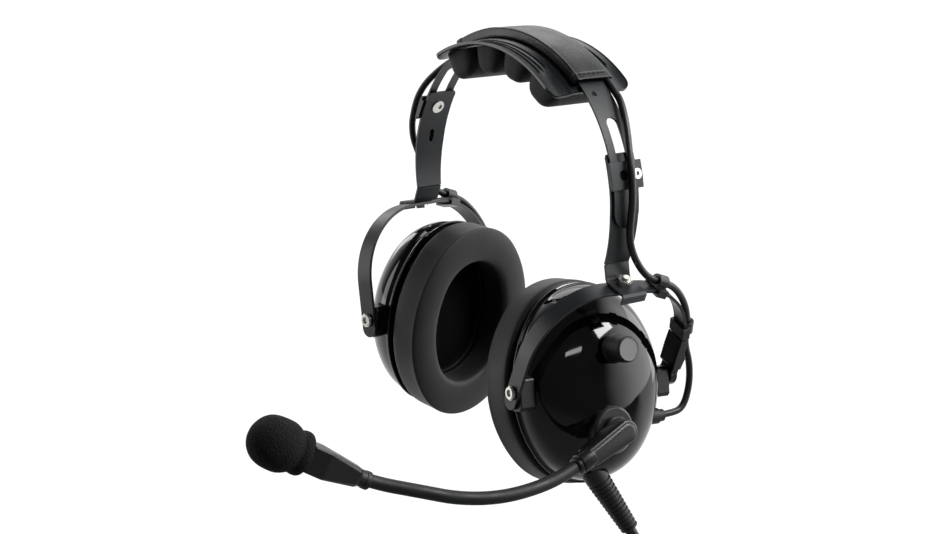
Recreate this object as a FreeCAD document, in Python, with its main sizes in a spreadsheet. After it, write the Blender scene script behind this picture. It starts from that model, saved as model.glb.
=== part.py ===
import FreeCAD, Part
import math
import os
import Sketcher
from FreeCAD import Placement, Rotation, Vector

# Aviation headset, held up by a head. Millimetres and degrees.
# +Z is up, the wearer looks along -Y, and +X is the wearer's left, the side with the boom.
# The origin lies midway between the ears, at the height of the pivots that the ear cups tilt on.

document = FreeCAD.newDocument("aviation_headset")

# Driving sizes
SIZES = (
    # headband spring and the arms that slide along it
    ("arc_height", 85.0),
    ("band_radius", 78.0),
    ("band_thickness", 1.0),
    ("band_width", 16.0),
    ("band_slot_width", 6.8),
    ("band_slot_low", 22.6),
    ("band_slot_high", 40.0),
    ("band_hole_angle", 50.0),
    ("band_hole_width", 3.0),
    ("slide_gap", 0.3),
    ("arm_thickness", 1.2),
    ("arm_top_angle", 27.0),
    ("arm_arc_low", -14.0),
    ("arm_top_width", 18.0),
    ("arm_foot_width", 15.5),
    ("arm_hole_width", 7.3),
    ("arm_hole_angle", 19.9),
    ("key_slot_width", 3.0),
    ("key_slot_angle", 7.5),
    ("clamp_angle", 18.8),
    ("clamp_plate_length", 13.5),
    ("clamp_plate_thickness", 1.2),
    ("clamp_screw_width", 2.8),
    ("clamp_head_width", 5.3),
    ("clamp_hole_width", 5.0),
    ("lip_depth", 5.0),
    # yoke that carries each ear cup
    ("pivot_out", 65.4),
    ("yoke_height", 57.0),
    ("yoke_lean", 15.9),
    ("yoke_half_span", 47.0),
    ("yoke_corner_radius", 37.5),
    ("strap_width", 9.5),
    ("strap_thickness", 1.5),
    ("strap_end_drop", 9.4),
    ("toe_in", 7.0),
    ("foot_bolt_width", 4.0),
    ("pivot_screw_width", 4.0),
    ("pivot_head_width", 7.2),
    # ear cups
    ("left_cup_tilt", 16.7),
    ("cup_back", -8.0),
    ("cup_depth", 30.5),
    ("cup_fullness", 2.35),
    ("cup_half_width", 40.0),
    ("cup_half_height", 49.5),
    ("cup_wall", 2.2),
    ("cup_roundness", 0.875),
    ("rim_flange", 1.5),
    ("plate_thickness", 3.8),
    ("plate_inset", 2.6),
    ("seal_half_width", 43.4),
    ("seal_half_height", 52.5),
    ("seal_thickness", 19.0),
    ("seal_hole_half_width", 25.0),
    ("seal_hole_half_height", 33.0),
    ("ear_foam_thickness", 3.0),
    ("speaker_width", 38.0),
    ("speaker_depth", 9.0),
    ("lug_width", 9.0),
    ("front_lug_top", 7.5),
    ("front_lug_drop", 9.5),
    ("rear_lug_top", 4.5),
    ("rear_lug_drop", 11.2),
    ("fit_gap", 0.05),
    # volume control
    ("knob_across", -1.5),
    ("knob_height", 18.5),
    ("knob_width", 14.0),
    ("knob_length", 12.8),
    ("knob_bevel", 0.7),
    ("shaft_width", 5.0),
    ("bush_width", 7.0),
    ("control_width", 16.0),
    ("control_depth", 6.0),
    # microphone boom
    ("boom_across", -5.0),
    ("boom_height", -21.5),
    ("boom_droop", 25.0),
    ("boss_width", 24.0),
    ("boss_face", 24.5),
    ("knuckle_width", 12.0),
    ("knuckle_thickness", 9.0),
    ("knuckle_neck", 2.2),
    ("knuckle_reach", 25.5),
    ("spigot_width", 8.0),
    ("boom_width", 6.5),
    ("muff_width", 25.0),
    ("muff_length", 40.0),
    ("capsule_width", 9.7),
    # cords
    ("lead_width", 3.6),
    ("lead_play", 0.15),
    ("cord_width", 5.8),
    ("tail_width", 4.0),
    ("relief_length", 36.0),
    ("relief_width", 12.4),
    ("relief_ribs", 13.0),
    ("coil_turns_per_layer", 3.125),
    ("coil_inner_radius", 23.5),
    ("coil_pitch", 6.4),
    ("phone_plug_width", 6.35),
    ("mic_plug_width", 5.23),
    # head pad
    ("sleeve_half_angle", 35.0),
    ("sleeve_rise", 3.2),
    ("sleeve_wall", 0.7),
    ("sleeve_front", -11.0),
    ("sleeve_rear", 12.4),
    ("saddle_half_angle", 38.0),
    ("saddle_half_width", 26.5),
    ("saddle_drop", 2.2),
    ("saddle_wall", 1.3),
    ("foam_depth", 14.0),
    ("foam_half_width", 21.0),
)

sheet = document.addObject("Spreadsheet::Sheet", "Sizes")
for row, (alias, value) in enumerate(SIZES, start=1):
    sheet.set(f"A{row}", alias)
    sheet.set(f"B{row}", str(value))
    sheet.setAlias(f"B{row}", alias)
document.recompute()


def size(alias):
    """A driving size, read back from the sheet."""
    return float(sheet.get(alias))


# Frames: where the arms, the yokes and the cups stand
X_AXIS = Vector(1, 0, 0)
Y_AXIS = Vector(0, 1, 0)
Z_AXIS = Vector(0, 0, 1)
HERE = Placement()
SIDES = ("left", "right")


def turned_about(axis, degrees):
    return Placement(Vector(), Rotation(axis, degrees))


def arm_frame(side):
    """X points away from the head on either side."""
    return turned_about(Z_AXIS, 0 if side == "left" else 180)


def rear(side):
    """The sign of Y that points to the back of the head in that side's frames."""
    return 1 if side == "left" else -1


def yoke_frame(side):
    """Z runs up the yoke's swivel axis, from the middle of its pivots to the foot of the arm."""
    middle = Placement(Vector(size("pivot_out"), 0, 0), Rotation())
    lean = turned_about(Y_AXIS, size("yoke_lean"))
    toe = turned_about(Z_AXIS, -rear(side) * size("toe_in"))
    return arm_frame(side) * middle * lean * toe


def cup_frame(side):
    """X is the cup's outward direction, and Y its tilt axis."""
    tilt = size("left_cup_tilt") if side == "left" else 0
    return yoke_frame(side) * turned_about(Y_AXIS, -size("yoke_lean") - tilt)


# Pieces: the sub-parts, in the order in which they are made
pieces = []


def keep(item, label, place=HERE):
    """Names a sub-part and sets it in place."""
    item.Label = label
    item.Placement = place
    pieces.append(item)
    return item


def shaped(label, shape, place=HERE):
    """A sub-part whose shape comes from Part's own functions."""
    item = document.addObject("Part::Feature", label)
    item.Shape = shape
    return keep(item, label, place)


def origin_plane(body, role):
    return next(item for item in body.Origin.OriginFeatures if item.Role == role)


def outline_sketch(body, role, corners):
    """A closed outline of straight lines whose corners are bound to the sheet."""
    sketch = body.newObject("Sketcher::SketchObject", body.Name + "Outline")
    sketch.AttachmentSupport = [(origin_plane(body, role), "")]
    sketch.MapMode = "FlatFace"
    points = [Vector(float(sketch.evalExpression(a)), float(sketch.evalExpression(b)), 0) for a, b in corners]
    count = len(points)
    for number, point in enumerate(points):
        sketch.addGeometry(Part.LineSegment(point, points[(number + 1) % count]), False)
    for number in range(count):
        sketch.addConstraint(Sketcher.Constraint("Coincident", number, 2, (number + 1) % count, 1))
    for number, (point, formulas) in enumerate(zip(points, corners)):
        for kind, value, formula in zip(("DistanceX", "DistanceY"), (point.x, point.y), formulas):
            place = sketch.addConstraint(Sketcher.Constraint(kind, -1, 1, number, 1, value))
            sketch.setExpression(f"Constraints[{place}]", formula)
    return sketch


def turned_body(name, corners):
    """A body turned about its own Z axis: each corner is a radius and a height."""
    body = document.addObject("PartDesign::Body", name)
    turning = body.newObject("PartDesign::Revolution", name + "Turning")
    turning.Profile = outline_sketch(body, "XZ_Plane", corners)
    turning.ReferenceAxis = (turning.Profile[0], ["V_Axis"])
    turning.Angle = 360
    body.Tip = turning
    return body


def bound(kind, name, **formulas):
    """A Part primitive whose sizes follow the sheet."""
    item = document.addObject("Part::" + kind, name)
    for setting, formula in formulas.items():
        item.setExpression(setting, formula)
    return item


def cut_from(name, base, tool):
    item = document.addObject("Part::Cut", name)
    item.Base = base
    item.Tool = tool
    return item


def joined(name, shapes):
    item = document.addObject("Part::MultiFuse", name)
    item.Shapes = shapes
    return item


def along(axis, at):
    """Turns an own Z axis along a direction and moves it to a point."""
    return Placement(at, Rotation(Z_AXIS, axis))


# Shapes shared by several sub-parts
ARC_MIDDLE = Vector(0, 0, size("arc_height"))


def on_arc(radius, angle, across=0.0):
    """A point at that angle about the headband's arc axis, where 0 is level and 90 is the crown."""
    turn = math.radians(angle)
    return ARC_MIDDLE + Vector(radius * math.cos(turn), across, radius * math.sin(turn))


def arc_swept(section, start, end):
    """Sweeps a closed outline of radius and across pairs about the headband's arc axis."""
    corners = [on_arc(radius, start, across) for radius, across in section]
    face = Part.Face(Part.makePolygon(corners + corners[:1]))
    return face.revolve(ARC_MIDDLE, -Y_AXIS, end - start)


def arc_block(inner, outer, front, back, start, end):
    return arc_swept(((inner, front), (outer, front), (outer, back), (inner, back)), start, end)


BAND_OUTSIDE = size("band_radius") + size("band_thickness")
CUT_LOW = size("band_radius") - 18.0
CUT_HIGH = size("band_radius") + 17.0


def radial_peg(width, angle, across=0.0, low=CUT_LOW, high=CUT_HIGH):
    """A round bar that points away from the arc axis."""
    foot = on_arc(low, angle, across)
    return Part.makeCylinder(width / 2, high - low, foot, on_arc(1, angle) - ARC_MIDDLE)


def flipped(shape, side):
    """Mirrored front to back for the right side, whose frames are turned half round."""
    return shape if side == "left" else shape.mirror(Vector(), Y_AXIS)


def arc_slot(width, low, high, across=0.0):
    """A round-ended slot along the arc, as the bar that cuts it."""
    reach = math.degrees(width / 2 / size("band_radius"))
    middle = arc_block(CUT_LOW, CUT_HIGH, across - width / 2, across + width / 2, low + reach, high - reach)
    return middle.fuse([radial_peg(width, low + reach, across), radial_peg(width, high - reach, across)])


def oval(x, half_width, half_height, roundness=None):
    """A closed outline of four arcs, wide along Y and high along Z."""
    end = half_width * (roundness or size("cup_roundness"))
    rise = half_height - end
    narrow = half_width - end
    offset = (rise**2 - narrow**2) / (2 * narrow)
    slope = math.hypot(offset, rise)
    y = end * offset / slope
    z = rise + end * rise / slope
    marks = (
        (y, -z), (half_width, 0), (y, z), (0, half_height),
        (-y, z), (-half_width, 0), (-y, -z), (0, -half_height),
    )
    points = [Vector(x, across, up) for across, up in marks]
    points.append(points[0])
    return Part.Wire([Part.Arc(*points[k:k + 3]).toShape() for k in (0, 2, 4, 6)])


def oval_slab(start, end, half_width, half_height, roundness=None):
    face = Part.Face(oval(start, half_width, half_height, roundness))
    return face.extrude(Vector(end - start, 0, 0))


def oval_loft(rows, ruled=False):
    """A solid through ovals given as x, half width and half height."""
    return Part.makeLoft([oval(*row) for row in rows], True, ruled)


def ring_of(centre, direction, radius):
    return Part.Wire([Part.Circle(centre, direction, radius).toShape()])


def tube_along(path, width, name):
    """A round tube along straight runs and arcs. It prints how near the volume is to section times length."""
    first = path.OrderedEdges[0]
    start = first.valueAt(first.FirstParameter)
    direction = first.tangentAt(first.FirstParameter)
    tube = path.makePipeShell([ring_of(start, direction, width / 2)], True, False)
    ideal = math.pi * width**2 / 4 * path.Length
    print(f"{name}: {path.Length:.0f} mm long, volume {tube.Volume / ideal:.4f} of section times length")
    return tube


def rounded_path(route, name):
    """Straight runs joined by arcs, each as large as its two runs allow."""
    edges = []
    radii = []
    here = route[0]
    for before, corner, after in zip(route, route[1:], route[2:]):
        back = before - corner
        ahead = after - corner
        turn = math.pi - back.getAngle(ahead)
        trim = 0.45 * min(back.Length, ahead.Length)
        radius = trim / math.tan(turn / 2)
        radii.append(radius)
        start = corner + back.normalize() * trim
        end = corner + ahead.normalize() * trim
        inward = (back + ahead).normalize()
        middle = corner + inward * (radius / math.cos(turn / 2) - radius)
        edges.append(Part.LineSegment(here, start).toShape())
        edges.append(Part.Arc(start, middle, end).toShape())
        here = end
    edges.append(Part.LineSegment(here, route[-1]).toShape())
    print(f"{name}: arc radii", " ".join(f"{radius:.0f}" for radius in radii), "mm")
    return Part.Wire(edges)


def free_tube(route, width, name):
    return tube_along(rounded_path(route, name), width, name)


# Headband spring
def headband_spring():
    inner = size("band_radius")
    outer = inner + size("band_thickness")
    half = size("band_width") / 2
    reach = math.degrees(half / inner)
    strip = arc_block(inner, outer, -half, half, reach, 180 - reach)
    for angle in (reach, 180 - reach):
        end = arc_block(inner, outer, -half, half, angle - reach, angle + reach)
        strip = strip.fuse(end.common(radial_peg(size("band_width"), angle)))
    for mirrored in (False, True):
        angles = [size("band_slot_low"), size("band_slot_high"), size("band_hole_angle")]
        low, high, hole = [180 - angle for angle in angles] if mirrored else angles
        strip = strip.cut(arc_slot(size("band_slot_width"), min(low, high), max(low, high)))
        strip = strip.cut(radial_peg(size("band_hole_width"), hole, size("sleeve_front") / 4))
    return strip.removeSplitter()


shaped("headband_spring", headband_spring())


# Head pad: a wrapped sleeve, a moulded saddle and four foam blocks
def sleeve_wrap():
    spread = size("sleeve_half_angle")
    wall = size("sleeve_wall")
    top = BAND_OUTSIDE + size("sleeve_rise")
    bottom = size("band_radius") - size("slide_gap") - wall
    front = size("sleeve_front")
    back = size("sleeve_rear")
    edge = 1.2
    section = (
        (bottom, front), (top - edge, front), (top, front + edge),
        (top, back - edge), (top - edge, back), (bottom, back),
    )
    outside = arc_swept(section, 90 - spread, 90 + spread)
    inside = arc_block(bottom + wall, top - wall, front + wall, back - wall, 85 - spread, 95 + spread)
    return outside.cut(inside)


shaped("sleeve_wrap", sleeve_wrap())


SADDLE_RIM = size("band_radius") - size("saddle_drop")


def saddle_plate():
    rim = SADDLE_RIM
    wall = size("saddle_wall")
    half = size("saddle_half_width")
    spread = size("saddle_half_angle")
    crest = size("band_radius") - size("slide_gap") - size("sleeve_wall") - 0.05
    shelf = -size("sleeve_front") + 2.0
    upper = ((shelf, crest), (shelf + 2.5, rim), (half - 4, rim - 0.5), (half - 1.5, rim), (half, rim - 0.3))
    lower = tuple((across, radius - wall) for across, radius in upper)
    right = list(upper) + list(reversed(lower))
    left = [(-across, radius) for across, radius in reversed(right)]
    section = [(radius, across) for across, radius in right + left]
    plate = arc_swept(section, 90 - spread, 90 + spread)
    corner = 5.5
    reach = rim * math.sin(math.radians(spread))
    trim = Part.makeBox(2 * reach + 2, 2 * half, 90, Vector(-reach - 1, -half, size("arc_height") + 10))
    uprights = [edge for edge in trim.Edges if abs(edge.tangentAt(0).z) > 0.99]
    plate = plate.common(trim.makeFillet(corner, uprights))
    for sign in (-1, 1):
        for step in range(3):
            across = sign * (22 - 2.9 * step)
            reach = spread - 12 + 1.5 * step
            rib = arc_block(rim - 1, rim + 0.9, across - 0.5, across + 0.5, 90 - reach, 90 + reach)
            plate = plate.fuse(rib)
    return plate.removeSplitter()


shaped("saddle_plate", saddle_plate())

FOAM_SPANS = ((54.0, 72.0), (74.0, 89.5), (91.5, 107.0), (109.0, 126.0))


def foam_block(start, end):
    """A block with a crowned underside and rounded ends, through rounded outlines across the head."""
    roof = SADDLE_RIM - size("saddle_wall") - 0.9
    middle = (start + end) / 2
    half = (end - start) / 2
    wires = []
    forms = ((-1, 0.72, 2.6), (-0.8, 0.93, 0.8), (0, 1.0, 0.0), (0.8, 0.93, 0.8), (1, 0.72, 2.6))
    for share, drop, draw in forms:
        angle = middle + share * half
        low = roof - size("foam_depth") * drop
        side = size("foam_half_width") - draw
        bevel = 4.0
        marks = (
            (roof, -side), (low + bevel, -side), (low, -side + bevel),
            (low, side - bevel), (low + bevel, side), (roof, side),
        )
        corners = [on_arc(radius, angle, across) for radius, across in marks]
        wires.append(Part.makePolygon(corners + corners[:1]))
    return Part.makeLoft(wires, True, True)


for number, (start, end) in enumerate(FOAM_SPANS, start=1):
    shaped(f"foam_block_{number}", foam_block(start, end))


# Arms: each slides along the band and carries a yoke under its foot
def sheet_strip(path, thickness, front, back):
    """Bent sheet metal: a path in the XZ plane, thickened to its left and made wide along Y."""
    outer = []
    inner = []
    for number, (x, z) in enumerate(path):
        x0, z0 = path[max(number - 1, 0)]
        x1, z1 = path[min(number + 1, len(path) - 1)]
        before = Vector(x - x0, 0, z - z0)
        after = Vector(x1 - x, 0, z1 - z)
        before = after if number == 0 else before
        after = before if number == len(path) - 1 else after
        bisector = before.normalize() + after.normalize()
        half_turn = before.getAngle(after) / 2
        normal = Vector(-bisector.z, 0, bisector.x).normalize() / math.cos(half_turn)
        outer.append(Vector(x, front, z))
        inner.append(Vector(x, front, z) + normal * thickness)
    corners = outer + list(reversed(inner))
    face = Part.Face(Part.makePolygon(corners + corners[:1]))
    return face.extrude(Vector(0, back - front, 0))


def foot_point(x, z):
    """A point of the arm's foot, from the yoke's leaning plane to the arm's frame."""
    lean = math.radians(size("yoke_lean"))
    return (
        size("pivot_out") + x * math.cos(lean) + z * math.sin(lean),
        z * math.cos(lean) - x * math.sin(lean),
    )


FOOT_TOP = size("yoke_height") + size("strap_thickness") / 2 + size("slide_gap") + size("arm_thickness")
LIP_OUT = size("strap_width") / 2 + 3.2
FOOT_IN = -4.6


def slide_arm():
    outer = size("band_radius") - size("slide_gap")
    thickness = size("arm_thickness")
    inner = outer - thickness
    top_half = size("arm_top_width") / 2
    foot_half = size("arm_foot_width") / 2
    low = size("arm_arc_low")
    bend = on_arc(outer, low)
    arc = arc_block(inner, outer, -top_half, top_half, low, size("arm_top_angle"))
    path = [
        (bend.x, bend.z),
        foot_point(FOOT_IN - 0.6, FOOT_TOP + 1.6),
        foot_point(FOOT_IN + 0.8, FOOT_TOP),
        foot_point(LIP_OUT + thickness - 1.2, FOOT_TOP),
        foot_point(LIP_OUT + thickness, FOOT_TOP - 1.2),
        foot_point(LIP_OUT + thickness, FOOT_TOP - size("lip_depth")),
    ]
    path.reverse()
    foot = sheet_strip(path, thickness, -top_half, top_half)
    arm = arc.fuse(foot)
    top = on_arc(outer, size("arm_top_angle")).z
    bottom = FOOT_TOP - 14
    waist = size("yoke_height") + 8
    shoulder = size("arc_height") + 6
    half_outline = (
        (foot_half, bottom), (foot_half, waist), (top_half, shoulder),
        (top_half, top - 2), (top_half - 2, top + 1),
    )
    start = size("band_radius") - 28
    corners = [Vector(start, -across, z) for across, z in half_outline]
    corners += [Vector(start, across, z) for across, z in reversed(half_outline)]
    blank = Part.Face(Part.makePolygon(corners + corners[:1])).extrude(Vector(60, 0, 0))
    arm = arm.common(blank)
    arm = arm.cut(radial_peg(size("arm_hole_width"), size("arm_hole_angle")))
    key = size("key_slot_angle")
    arm = arm.cut(arc_slot(size("key_slot_width"), key - 3.2, key + 2.2))
    return arm.cut(foot_bolt_hole()).removeSplitter()


def swivel_axis():
    lean = math.radians(size("yoke_lean"))
    return Vector(math.sin(lean), 0, math.cos(lean))


def foot_bolt_hole():
    middle = Vector(size("pivot_out"), 0, 0)
    radius = size("foot_bolt_width") / 2 + size("fit_gap")
    return Part.makeCylinder(radius, 20, middle + swivel_axis() * (size("yoke_height") - 9), swivel_axis())


CLAMP_HOLE_ACROSS = -2.2
CLAMP_SCREW_ACROSS = 5.6


def clamp_plate():
    """A plate outside the band whose side tabs reach round the band to the arm."""
    band = BAND_OUTSIDE
    gap = size("slide_gap")
    wall = size("clamp_plate_thickness")
    half = size("band_width") / 2 + gap
    spread = math.degrees(size("clamp_plate_length") / 2 / band)
    middle = size("clamp_angle")
    foot = size("band_radius") - gap + 0.02
    tab = size("arm_top_width") / 2 + wall
    plate = arc_block(band + gap, band + gap + wall, -tab, tab, middle - spread, middle + spread)
    for sign in (-1, 1):
        across = sorted((sign * half, sign * tab))
        tab_block = arc_block(foot, band + gap + wall, *across, middle - spread + 1, middle + spread - 1)
        plate = plate.fuse(tab_block)
    plate = plate.cut(radial_peg(size("clamp_hole_width"), middle, CLAMP_HOLE_ACROSS))
    plate = plate.cut(radial_peg(size("clamp_screw_width") + 2 * size("fit_gap"), middle, CLAMP_SCREW_ACROSS))
    return plate.removeSplitter()


def clamp_screw(across):
    """A socket screw in the plate, tightened against the band to hold the arm where it is set."""
    band = BAND_OUTSIDE
    top = band + size("slide_gap") + size("clamp_plate_thickness")
    shank = size("clamp_screw_width")
    angle = size("clamp_angle")
    screw = radial_peg(shank, angle, across, band + 0.02, top + 0.02)
    head = radial_peg(size("clamp_head_width"), angle, across, top + 0.02, top + 1.6)
    socket = radial_peg(size("clamp_head_width") / 2.4, angle, across, top + 0.6, top + 3)
    return screw.fuse(head).cut(socket).removeSplitter()


def clamp_nut():
    """A round nut pressed into the arm's hole, with a blind hole in its inner face."""
    outside = size("band_radius") - size("slide_gap") - 0.1
    inside = outside - size("arm_thickness") - 0.4
    angle = size("arm_hole_angle")
    nut = radial_peg(size("arm_hole_width") - 0.04, angle, 0, inside, outside)
    return nut.cut(radial_peg(size("clamp_screw_width"), angle, -1.0, inside - 1, inside + 0.8))


def hexagon(width, height, at):
    """A six-sided head or nut, standing on a point of its own axis."""
    corners = [Vector(width / math.sqrt(3), 0, 0)]
    for step in range(1, 6):
        corners.append(Rotation(Z_AXIS, 60 * step).multVec(corners[0]))
    face = Part.Face(Part.makePolygon(corners + corners[:1]))
    face.translate(Vector(0, 0, at))
    return face.extrude(Vector(0, 0, height))


def foot_bolt():
    """Head under the yoke, nut on the arm's foot."""
    width = size("foot_bolt_width")
    under = size("yoke_height") - size("strap_thickness") / 2
    head = Part.makeCylinder(width * 0.95, 1.6, Vector(0, 0, under - 1.65))
    shank = Part.makeCylinder(width / 2, FOOT_TOP + 4.4 - under + 0.05, Vector(0, 0, under - 0.05))
    nut = hexagon(7.0, 3.2, FOOT_TOP + 0.02)
    return head.fuse([shank, nut]).removeSplitter()


for side in SIDES:
    place = arm_frame(side)
    shaped(side + "_slide_arm", slide_arm(), place)
    shaped(side + "_clamp_plate", flipped(clamp_plate(), side), place)
    bolt = foot_bolt()
    middle = Placement(Vector(size("pivot_out"), 0, 0), Rotation()) * turned_about(Y_AXIS, size("yoke_lean"))
    bolt.Placement = middle
    screw = clamp_screw(rear(side) * CLAMP_SCREW_ACROSS)
    shaped(side + "_arm_fasteners", Part.makeCompound([screw, clamp_nut(), bolt]), place)


# Yokes: a bent strap with moulded fittings on its rear leg
def yoke_strap():
    half = size("yoke_half_span")
    height = size("yoke_height")
    corner = size("yoke_corner_radius")
    wide = size("strap_width")
    thick = size("strap_thickness")
    bottom = -size("strap_end_drop")
    solids = []
    for offset in (-thick / 2, thick / 2):
        side = half + offset
        top = height + offset
        radius = corner + offset
        low = top - radius
        inset = side - radius
        diagonal = radius * math.sqrt(0.5)
        front = (Vector(0, -side, low), Vector(0, -inset - diagonal, low + diagonal), Vector(0, -inset, top))
        back = (Vector(0, inset, top), Vector(0, inset + diagonal, low + diagonal), Vector(0, side, low))
        edges = [
            Part.LineSegment(Vector(0, -side, bottom), front[0]),
            Part.Arc(*front),
            Part.LineSegment(front[2], back[0]),
            Part.Arc(*back),
            Part.LineSegment(back[2], Vector(0, side, bottom)),
            Part.LineSegment(Vector(0, side, bottom), Vector(0, -side, bottom)),
        ]
        face = Part.Face(Part.Wire([edge.toShape() for edge in edges]))
        solids.append(face.extrude(Vector(wide, 0, 0)))
    strap = solids[1].cut(solids[0])
    strap.translate(Vector(-wide / 2, 0, 0))
    rounding = bottom + wide / 2
    round_end = Part.makeCylinder(wide / 2, 2 * half + 20, Vector(0, -half - 10, rounding), Y_AXIS)
    upper = Part.makeBox(wide, 2 * half + 20, height + 20, Vector(-wide / 2, -half - 10, rounding))
    strap = strap.common(round_end.fuse(upper))
    pivot = size("pivot_screw_width") / 2 + size("fit_gap")
    strap = strap.cut(Part.makeCylinder(pivot, 2 * half + 20, Vector(0, -half - 10, 0), Y_AXIS))
    bolt = size("foot_bolt_width") / 2 + size("fit_gap")
    strap = strap.cut(Part.makeCylinder(bolt, 10, Vector(0, 0, height - 5)))
    return strap.removeSplitter()


def on_yoke(turn, lift):
    """A point over the strap's rounded corner, at that turn from level, and its outward direction."""
    corner = size("yoke_corner_radius")
    outward = Vector(0, math.cos(math.radians(turn)), math.sin(math.radians(turn)))
    middle = Vector(0, size("yoke_half_span") - corner, size("yoke_height") - corner)
    return middle + outward * (corner + lift), outward


CLIP_TURNS = (72.0, 14.0)
CLIP_LIFT = size("strap_thickness") / 2 + 1.6 + size("lead_width") / 2


def strap_clip(turn):
    """A moulded clip round the strap, with a round eye that holds the lead outside it."""
    point, outward = on_yoke(turn, 0)
    inner = (size("strap_thickness") / 2 + 0.05, size("strap_width") / 2 + 0.05)
    eye = size("lead_width") / 2 + 2 * size("lead_play")
    lead = CLIP_LIFT
    length = 6.5
    wall = 1.3
    wide = inner[1] + wall
    high = inner[0] + wall
    block = Part.makeBox(2 * wide, length, 2 * high, Vector(-wide, -length / 2, -high))
    ring = Part.makeCylinder(eye + wall, length, Vector(0, -length / 2, lead), Y_AXIS)
    hole = Part.makeCylinder(eye, length + 2, Vector(0, -length / 2 - 1, lead), Y_AXIS)
    corner = Vector(-inner[1], -length / 2 - 4, -inner[0])
    window = Part.makeBox(2 * inner[1], length + 8, 2 * inner[0], corner)
    clip = block.fuse(ring).cut(hole).cut(window)
    clip.Placement = Placement(point, Rotation(X_AXIS, turn - 90))
    return clip.cut(grown_strap_corner())


def grown_strap_corner():
    """The strap's own corner, grown a little, so that the fittings follow its bend."""
    half = size("yoke_half_span")
    corner = size("yoke_corner_radius")
    wide = size("strap_width") + 0.1
    grow = size("strap_thickness") / 2 + 0.05
    middle = Vector(-wide / 2, half - corner, size("yoke_height") - corner)
    outer = Part.makeCylinder(corner + grow, wide, middle, X_AXIS)
    inner = Part.makeCylinder(corner - grow, wide, middle, X_AXIS)
    quarter = Part.makeBox(wide, 2 * corner, 2 * corner, middle)
    leg = Part.makeBox(wide, 2 * grow, 40, Vector(-wide / 2, half - grow, middle.z - 40))
    return outer.cut(inner).common(quarter).fuse(leg)


def rear_guard():
    """The thick moulded sleeve on the rear leg, with a round knob over the pivot."""
    half = size("yoke_half_span")
    wide = size("strap_width") / 2
    grow = size("strap_thickness") / 2
    corners = [
        Vector(0, half - grow - 1.0, 6.5),
        Vector(0, half - grow - 1.6, 16),
        Vector(0, half - grow - 1.6, 24),
        Vector(0, half + grow + 1.2, 24),
        Vector(0, half + grow + 1.3, 17),
        Vector(0, half + grow + 3.0, 13),
        Vector(0, half + grow + 2.4, 6.5),
    ]
    guard = Part.Face(Part.makePolygon(corners + corners[:1])).extrude(Vector(2 * wide + 2.6, 0, 0))
    guard.translate(Vector(-wide - 1.3, 0, 0))
    knob_face = half + grow + 2.5
    knob = Part.makeCylinder(wide + 0.9, knob_face - half + grow, Vector(0, half - grow, 0), Y_AXIS)
    bridge = Part.makeBox(2 * wide, knob_face - half, 7.5, Vector(-wide, half, 0))
    leg = Part.makeBox(2 * wide + 0.1, 2 * grow + 1, 40, Vector(-wide - 0.05, half - grow - 0.95, -30))
    head = size("pivot_head_width") / 2 + size("fit_gap")
    well = Part.makeCylinder(head, 20, Vector(0, half - 9, 0), Y_AXIS)
    return guard.fuse([knob, bridge]).cut(leg).cut(well).cut(grown_strap_corner()).removeSplitter()


for side in SIDES:
    place = yoke_frame(side)
    shaped(side + "_yoke", yoke_strap(), place)
    fittings = [rear_guard()] + [strap_clip(turn) for turn in CLIP_TURNS]
    shaped(side + "_yoke_fittings", flipped(Part.makeCompound(fittings), side), place)


# Ear cups
def dome(half_width, half_height, depth):
    """Half an egg, a little fuller than an ellipse and cut just short of its tip."""
    rows = []
    power = 2 / size("cup_fullness")
    for angle in (0, 14, 28, 42, 56, 70, 82):
        turn = math.radians(angle)
        share = math.cos(turn) ** power
        rise = math.sin(turn) ** power
        rows.append((size("cup_back") + depth * rise, half_width * share, half_height * share))
    return oval_loft(rows)


def outer_dome():
    return dome(size("cup_half_width"), size("cup_half_height"), size("cup_depth"))


def inner_dome():
    wall = size("cup_wall")
    return dome(size("cup_half_width") - wall, size("cup_half_height") - wall, size("cup_depth") - wall)


LUG_FACE = size("yoke_half_span") - size("strap_thickness") / 2 - size("slide_gap")
LUG_ROOT = 28.0


def pivot_lug(top, drop):
    """A flat lug on the rear of the shell, from a height over the pivot to one under it."""
    half = size("lug_width") / 2
    bevel = 1.5
    outline = (
        (bevel - half, -drop), (half - bevel, -drop), (half, bevel - drop), (half, top - bevel),
        (half - bevel, top), (bevel - half, top), (-half, top - bevel), (-half, bevel - drop),
    )
    corners = [Vector(x, LUG_ROOT, z) for x, z in outline]
    lug = Part.Face(Part.makePolygon(corners + corners[:1])).extrude(Vector(0, LUG_FACE - LUG_ROOT, 0))
    radius = size("pivot_screw_width") / 2 + size("fit_gap")
    return lug.cut(Part.makeCylinder(radius, 30, Vector(0, LUG_FACE - 7, 0), Y_AXIS))


LEAD_HOLE = Vector(3.0, 30.0, -20.5)
RELIEF_START = Vector(3.5, -4.5, -44.0)
RELIEF_WAY = Vector(0.06, 0.53, -0.848).normalize()


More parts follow.
